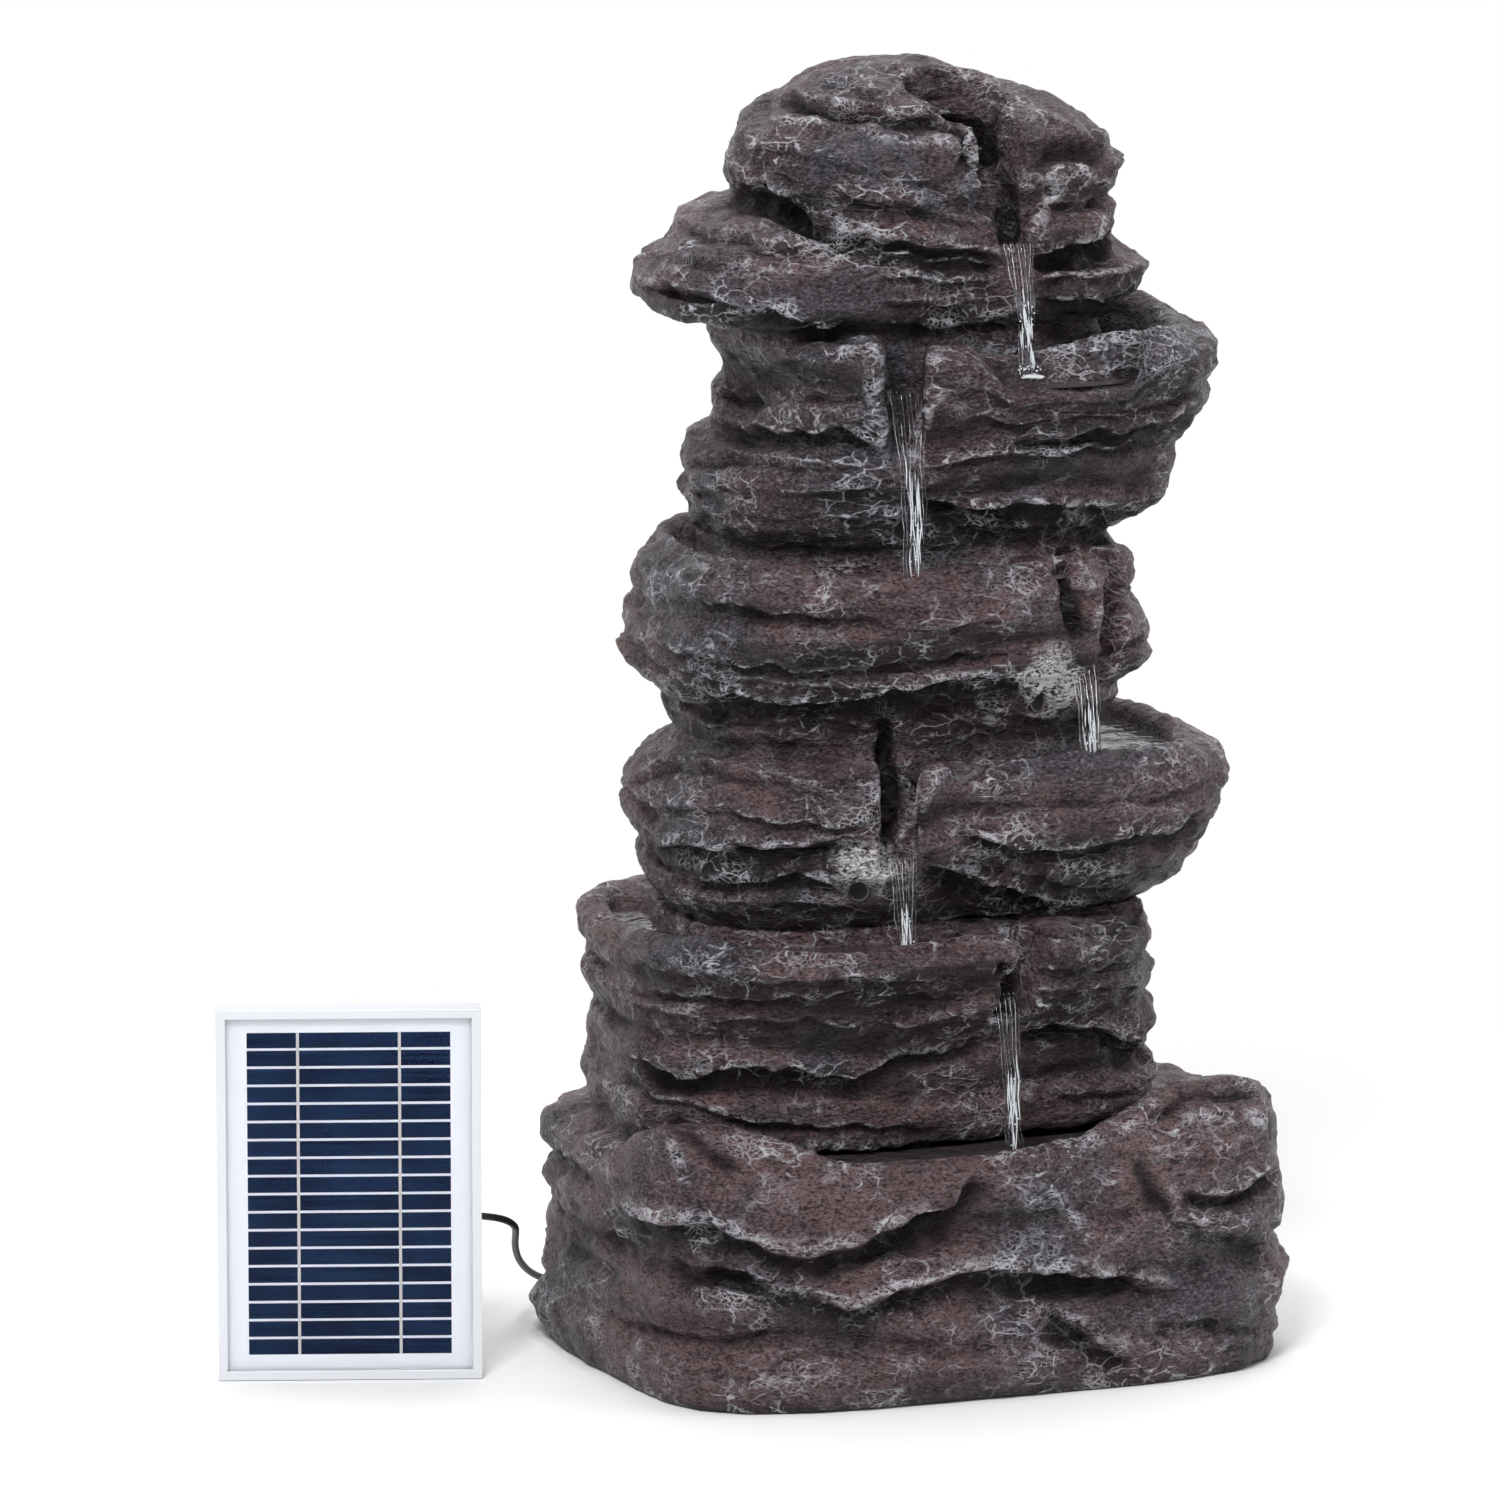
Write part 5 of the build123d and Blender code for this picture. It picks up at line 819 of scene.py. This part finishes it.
def level_tube(bm, points, radii, flat=1.0, material=0):
    """Tube whose rings lie level, round a line that runs downwards."""
    rings = []
    for (x, y, z), radius in zip(points, radii):
        rings.append([
            bm.verts.new((
                (x + radius * cos(2 * pi * s / TUBE_SIDES)) * MM,
                (y + flat * radius * sin(2 * pi * s / TUBE_SIDES)) * MM,
                z * MM,
            ))
            for s in range(TUBE_SIDES)
        ])
    faces = [rings[0], list(reversed(rings[-1]))]
    for low, high in zip(rings, rings[1:]):
        for s in range(TUBE_SIDES):
            n = (s + 1) % TUBE_SIDES
            faces.append((low[s], low[n], high[n], high[s]))
    for verts in faces:
        face = bm.faces.new(verts)
        face.material_index = material
        face.smooth = True


def foam_and_glint_ball(bm, radius, matrix, subdivisions):
    """Ball of white water, in millimetres: a frothy splash at a fall's foot, and the drops, whose white is a
    painted glint. Gives back its points.
    """
    made = bmesh.ops.create_icosphere(bm, subdivisions=subdivisions, radius=radius * MM, matrix=matrix)
    for face in {face for vert in made["verts"] for face in vert.link_faces}:
        face.material_index = 1
        face.smooth = True
    return made["verts"]


def drop(bm, place, radius):
    foam_and_glint_ball(bm, radius, Matrix.Translation(Vector(place) * MM), 1)


def water_fall(name, top, foot, top_width, foot_width):
    """Falling water: clear strands that draw together, with bright streaks and drops that are painted
    glints, and a frothy splash.
    """
    bm = bmesh.new()
    seed = top[2]

    def chance(k, row):
        return 0.5 + 0.5 * noise.noise(Vector((seed + 7.3 * k, 3.1 * row + 0.5, 1.7 * k + 0.3)))

    def place(side, share, k):
        """A point of the fall, from one side to the other and from its top to its foot."""
        z = top[2] + (foot[2] - top[2]) * share
        width = foot_width + (top_width - foot_width) * (1.0 - share) ** NARROWING
        wave = noise.noise(Vector((seed + k, z / SWAY_LENGTH, 3.0))) * SWAY * share ** 0.5
        x = top[0] + (foot[0] - top[0]) * share + side * width / 2 + wave
        return x, top[1] + (foot[1] - top[1]) * share ** 0.5, z

    for k in range(STRANDS):
        side = 2.0 * k / (STRANDS - 1) - 1.0
        shares = [ring / FALL_RINGS for ring in range(FALL_RINGS + 1)]
        points = [place(side, share, STRAND_SHIFT * k) for share in shares]
        bulges = [noise.noise(Vector((seed + k, z / BULGE_LENGTH, 5.0))) for _, _, z in points]
        level_tube(bm, points, [STRAND_RADIUS * (1.0 + BULGE * bulge) for bulge in bulges], STRAND_FLAT)
    for k in range(STREAKS):
        side = 2.6 * chance(k, 1) - 1.3
        start = chance(k, 2) ** 0.7 * 0.9
        length = 0.05 + 0.22 * chance(k, 3)
        shares = [start + length * ring / FALL_RINGS for ring in range(FALL_RINGS + 1)]
        points = [place(side, share, STRAND_SHIFT * k) for share in shares if share <= 1.0]
        points = [(x, y - STRAND_RADIUS, z) for x, y, z in points]
        last = len(points) - 1
        radii = [STREAK_RADIUS * (0.25 + sin(pi * ring / last)) for ring in range(last + 1)]
        level_tube(bm, points, radii, 1.0, 1)
    for k in range(DROPS):
        x, y, z = place(3.2 * chance(k, 4) - 1.6, 0.25 + 0.75 * chance(k, 5), k)
        drop(bm, (x, y - 1.5, z), DROP_RADIUS * (0.5 + chance(k, 6)))
    flat = Matrix.Translation((Vector(foot) + SPLASH_AT) * MM) @ Matrix.Diagonal((*SPLASH_SHARES, 1.0))
    for vert in foam_and_glint_ball(bm, SPLASH_REACH, flat, 3):
        ripple = SPLASH_RIPPLE * MM * noise.noise(vert.co * SPLASH_RIPPLE_SCALE)
        vert.co += Vector((0.0, 0.0, ripple))
    for k in range(SPLASH_DROPS):
        angle = 2 * pi * k * GOLDEN_TURN
        out = SPLASH_REACH * (0.2 + 0.8 * chance(k, 7))
        rise = SPLASH_RISE * chance(k, 8) * (1.0 - 0.6 * out / SPLASH_REACH)
        x, y = foot[0] + out * cos(angle), foot[1] + 0.4 * out * sin(angle)
        drop(bm, (x, y, foot[2] + 2.0 + rise), DROP_RADIUS)
    bmesh.ops.recalc_face_normals(bm, faces=bm.faces)
    obj = object_from(bm, name, water.material, foam_and_glint.material)
    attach(obj, "fountain")


for fall in FALLS:
    water_fall(*fall)

# Pools: the tier that holds the water, the tier that stands in it, the bearings that it reaches
# between, and the height of the rim and how far the water lies below it, in millimetres
POOLS = (
    ("pool_basin", "base_basin", "lower_tier", 205.0, 335.0, 130.0, 4.0),
    ("pool_lower", "lower_tier", "middle_right_tier", 150.0, 286.0, 250.0, 9.0),
    ("pool_middle_right", "middle_right_tier", "middle_left_tier", 248.0, 398.0, 343.0, 9.0),
    ("pool_middle_left", "middle_left_tier", "upper_tier", 142.0, 314.0, 452.0, 9.0),
    ("pool_upper", "upper_tier", "shoulder_tier", 262.0, 398.0, 570.0, 24.0),
)
POOL_STEP = 4.0
POOL_THICK = 2.0
RIM_BITE = 6.0
FOOT_BITE = 5.0
FOOT_ABOVE_RIM = 3.0
LEAST_WIDTH = 1.0
CAST_FROM = 0.4


def outer_reach(tree, bearing, z):
    """Distance of a tier's outer face from the tower's axis, in millimetres."""
    way = Vector((cos(bearing), sin(bearing), 0.0))
    axis = Vector((0.0, TOWER_AXIS_Y, z * MM))
    place = tree.ray_cast(axis + way * CAST_FROM, -way)[0]
    return (place - axis).length / MM


def ray_tree(mesh):
    return BVHTree.FromPolygons(
        [vert.co for vert in mesh.vertices], [face.vertices[:] for face in mesh.polygons]
    )


def pool(name, holder, stander, start, end, rim_z, drop_to_water):
    """Slab of water between a bowl's rim and the tier that stands in the bowl."""
    holder_tree, stander_tree = (ray_tree(nodes[part].data) for part in (holder, stander))
    z = rim_z - drop_to_water
    bm = bmesh.new()
    rows = []
    steps = int((end - start) / POOL_STEP)
    for k in range(steps + 1):
        bearing = radians(start + (end - start) * k / steps)
        out = outer_reach(holder_tree, bearing, z) - RIM_BITE
        inner = outer_reach(stander_tree, bearing, rim_z + FOOT_ABOVE_RIM) - FOOT_BITE
        inner = min(inner, out - LEAST_WIDTH)
        way = Vector((cos(bearing), sin(bearing), 0.0))
        axis = Vector((0.0, TOWER_AXIS_Y, z * MM))
        rows.append([
            bm.verts.new(axis + way * reach * MM + Vector((0.0, 0.0, level * MM)))
            for reach, level in ((inner, 0.0), (out, 0.0), (out, -POOL_THICK), (inner, -POOL_THICK))
        ])
    bm.faces.new(rows[0])
    bm.faces.new(rows[-1])
    for low, high in zip(rows, rows[1:]):
        for s in range(4):
            bm.faces.new((low[s], low[(s + 1) % 4], high[(s + 1) % 4], high[s]))
    bmesh.ops.recalc_face_normals(bm, faces=bm.faces)
    obj = object_from(bm, name, pool_water.material)
    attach(obj, "fountain")


for water_level in POOLS:
    pool(*water_level)

# Solar panel

frame_metal = Shader("anodised_frame", (0.70, 0.72, 0.76), 0.4, metallic=0.25)
frame_metal.bump(frame_metal.noise(60.0, 3.0, 0.5, 0.0, frame_metal.stretched((1.0, 1.0, 30.0))), 0.0001)
glass = Shader("panel_glass", (1.0, 1.0, 1.0), 0.03, transmission_weight=1.0, ior=1.1)
glass.bump(glass.noise(300.0, 2.0), 0.00002)
GLASS_BACK_GAP = 0.15 * MM
PANEL_YAW = radians(-17.9)


def thin_glass():
    """The panel's glass, its back held a hair in front of the cells and the sheet."""
    bm = bmesh.new()
    bm.from_mesh(nodes["panel_glass"].data)
    bmesh.ops.remove_doubles(bm, verts=bm.verts, dist=GLASS_BACK_GAP / 10)
    facing = Vector((sin(PANEL_YAW), -cos(PANEL_YAW), 0.0))
    middle = sum((vert.co for vert in bm.verts), Vector()) / len(bm.verts)
    for vert in bm.verts:
        if (vert.co - middle).dot(facing) < 0:
            vert.co += facing * GLASS_BACK_GAP
    obj = object_from(bm, "panel_glass_sheet", glass.material)
    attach(obj, "fountain")
    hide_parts("panel_glass")


thin_glass()
PANEL_PLACE = Vector((-309.0, 40.0, 0.0))
PANEL_WIDTH = 143.0
PANEL_HEIGHT = 205.0
FRAME_FACE = 5.0
MITRE_GAP = 0.12
FACE_OUT = 0.12
FACE_DEPTH = 1.0
FACE_BEVEL = 0.3


def frame_face():
    """Mitred face of the frame, over the lips of its rails."""
    half = PANEL_WIDTH / 2
    outer = ((-half, 0.0), (half, 0.0), (half, PANEL_HEIGHT), (-half, PANEL_HEIGHT))
    inner = (
        (-half + FRAME_FACE, FRAME_FACE), (half - FRAME_FACE, FRAME_FACE),
        (half - FRAME_FACE, PANEL_HEIGHT - FRAME_FACE), (-half + FRAME_FACE, PANEL_HEIGHT - FRAME_FACE),
    )
    turn = Matrix.Rotation(PANEL_YAW, 4, "Z")
    bm = bmesh.new()
    for k in range(4):
        n = (k + 1) % 4
        along = (Vector(outer[n]) - Vector(outer[k])).normalized() * MITRE_GAP
        corners = (
            Vector(outer[k]) + along, Vector(outer[n]) - along,
            Vector(inner[n]) - along, Vector(inner[k]) + along,
        )
        front, back = (
            [bm.verts.new((PANEL_PLACE + turn @ Vector((c.x, y, c.y))) * MM) for c in corners]
            for y in (-FACE_OUT, FACE_DEPTH)
        )
        bm.faces.new(front)
        bm.faces.new(list(reversed(back)))
        for s in range(4):
            bm.faces.new((front[s], back[s], back[(s + 1) % 4], front[(s + 1) % 4]))
    bmesh.ops.recalc_face_normals(bm, faces=bm.faces)
    bmesh.ops.bevel(
        bm, geom=list(bm.edges), offset=FACE_BEVEL * MM, segments=2, affect="EDGES", profile=0.5,
        clamp_overlap=True,
    )
    obj = object_from(bm, "panel_frame_face", frame_metal.material)
    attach(obj, "fountain")


frame_face()
CELL_DARK = (0.002, 0.005, 0.022)
CELL_LIGHT = (0.009, 0.026, 0.074)
CRYSTAL_SHARE = 0.4
FINGER_SHARE = 0.6
sheet = Shader("white_backsheet", (0.80, 0.84, 0.91), 0.6)
sheet.bump(sheet.noise(500.0, 2.0), 0.0001)
cells = Shader("blue_cells", (0.010, 0.024, 0.085), 0.35, specular_ior_level=0.04)
fingers = cells.noise(900.0, 2.0, 0.5, 0.0, cells.stretched((0.02, 0.02, 1.0)))
crystals = cells.math("MULTIPLY", cells.noise(30.0, 3.0, 0.6), CRYSTAL_SHARE)
cell_tone = cells.math("ADD", crystals, cells.math("MULTIPLY", fingers, FINGER_SHARE))
cells.color(cells.mix(cells.remap(cell_tone, 0.36, 0.64), CELL_DARK, CELL_LIGHT))
ribbon = Shader("tinned_ribbon", (0.55, 0.53, 0.52), 0.4, metallic=0.3)
ribbon.bump(ribbon.noise(400.0, 2.0), 0.0001)


# Other CAD pieces

def plastic(name, color, roughness, grain_scale=700.0, **values):
    shader = Shader(name, color, roughness, **values)
    shader.bump(shader.noise(grain_scale, 4.0), 0.00015)
    return shader.material


FINISHES = {
    "pump_plastic": plastic("pump_plastic", (0.022, 0.022, 0.024), 0.5),
    "clear_hose": plastic("clear_hose", (0.55, 0.6, 0.6), 0.2),
    "black_rubber": plastic("black_rubber", (0.016, 0.016, 0.016), 0.7),
    "steel": plastic("steel", (0.56, 0.56, 0.58), 0.3, 900.0, metallic=1.0),
    "ferrite": plastic("ferrite", (0.09, 0.09, 0.095), 0.6),
    "lamp_body": plastic("lamp_body", (0.03, 0.03, 0.034), 0.25),
    "lamp_lens": plastic("lamp_lens", (0.012, 0.010, 0.011), 0.35, specular_ior_level=0.1),
    "anodised_frame": frame_metal.material,
    "panel_glass": glass.material,
    "blue_cells": cells.material,
    "tinned_ribbon": ribbon.material,
    "white_backsheet": sheet.material,
    "box_plastic": plastic("box_plastic", (0.028, 0.028, 0.030), 0.48),
    "battery_sleeve": plastic("battery_sleeve", (0.05, 0.25, 0.45), 0.35),
    "board": plastic("board", (0.03, 0.2, 0.08), 0.35),
    "button_plastic": plastic("button_plastic", (0.30, 0.31, 0.32), 0.35),
    "cord_sheath": sheath.material,
    "cast_rock": rock.material,
}
for part in frame["record"]["subparts"]:
    node = nodes[part["node"]]
    node.data.materials.clear()
    node.data.materials.append(FINISHES[part["material_slot"]])

# Floor, backdrop and light

FLOOR_HALF = 20.0
FLOOR_DROP = -0.4 * MM
FLOOR_FADE_START = 0.45
FLOOR_FADE_END = 0.95
WHITE = (1.0, 1.0, 1.0, 1.0)
WORLD_LIGHT = 0.5
WORLD_SEEN = 1.0
# Lights: name, place, what each points at, size and power
LIGHTS = (
    ("key", (-1.6, -2.3, 3.0), (0.0, 0.0, 0.35), 1.0, 96.0),
    ("fill", (2.4, -1.8, 1.4), (0.0, 0.0, 0.3), 1.6, 18.0),
    ("top", (0.3, 0.6, 3.0), (0.0, 0.0, 0.3), 1.5, 40.0),
)

floor_mesh = bpy.data.meshes.new("floor")
corners = [(i * FLOOR_HALF, j * FLOOR_HALF, FLOOR_DROP) for i, j in ((-1, -1), (1, -1), (1, 1), (-1, 1))]
floor_mesh.from_pydata(corners, [], [(0, 1, 2, 3)])
floor = new_object("floor", floor_mesh)
floor_shader = Shader("floor", (0.95, 0.95, 0.95), 0.9)
white = floor_shader.add("ShaderNodeEmission")
apart = floor_shader.add("ShaderNodeVectorMath", operation="LENGTH")
floor_shader.link(floor_shader.place, apart.inputs[0])
fade = floor_shader.remap(apart.outputs["Value"], FLOOR_FADE_START, FLOOR_FADE_END)
floor_mix = floor_shader.add("ShaderNodeMixShader")
floor_shader.link(fade, floor_mix.inputs["Fac"])
floor_shader.link(floor_shader.surface.outputs["BSDF"], floor_mix.inputs[1])
floor_shader.link(white.outputs["Emission"], floor_mix.inputs[2])
floor_output = floor_shader.tree.nodes["Material Output"]
floor_shader.link(floor_mix.outputs["Shader"], floor_output.inputs["Surface"])
floor_mesh.materials.append(floor_shader.material)

world = bpy.data.worlds.new("world")
bpy.context.scene.world = world
world.use_nodes = True
tree = world.node_tree
background = tree.nodes["Background"]
background.inputs["Color"].default_value = WHITE
background.inputs["Strength"].default_value = WORLD_LIGHT
seen = tree.nodes.new("ShaderNodeBackground")
seen.inputs["Color"].default_value = WHITE
seen.inputs["Strength"].default_value = WORLD_SEEN
rays = tree.nodes.new("ShaderNodeLightPath")
direct = rays.outputs["Is Camera Ray"]
for kind in ("Is Transmission Ray", "Is Glossy Ray"):
    either = tree.nodes.new("ShaderNodeMath")
    either.operation = "MAXIMUM"
    tree.links.new(direct, either.inputs[0])
    tree.links.new(rays.outputs[kind], either.inputs[1])
    direct = either.outputs["Value"]
mixer = tree.nodes.new("ShaderNodeMixShader")
tree.links.new(direct, mixer.inputs["Fac"])
tree.links.new(background.outputs["Background"], mixer.inputs[1])
tree.links.new(seen.outputs["Background"], mixer.inputs[2])
tree.links.new(mixer.outputs["Shader"], tree.nodes["World Output"].inputs["Surface"])


def soft_light(name, place, aim, size, power):
    light = bpy.data.lights.new(name, "AREA")
    light.size = size
    light.energy = power
    lamp = bpy.data.objects.new(name, light)
    lamp.location = place
    lamp.rotation_euler = (Vector(aim) - Vector(place)).to_track_quat("-Z", "Y").to_euler()
    bpy.context.scene.collection.objects.link(lamp)


for light in LIGHTS:
    soft_light(*light)
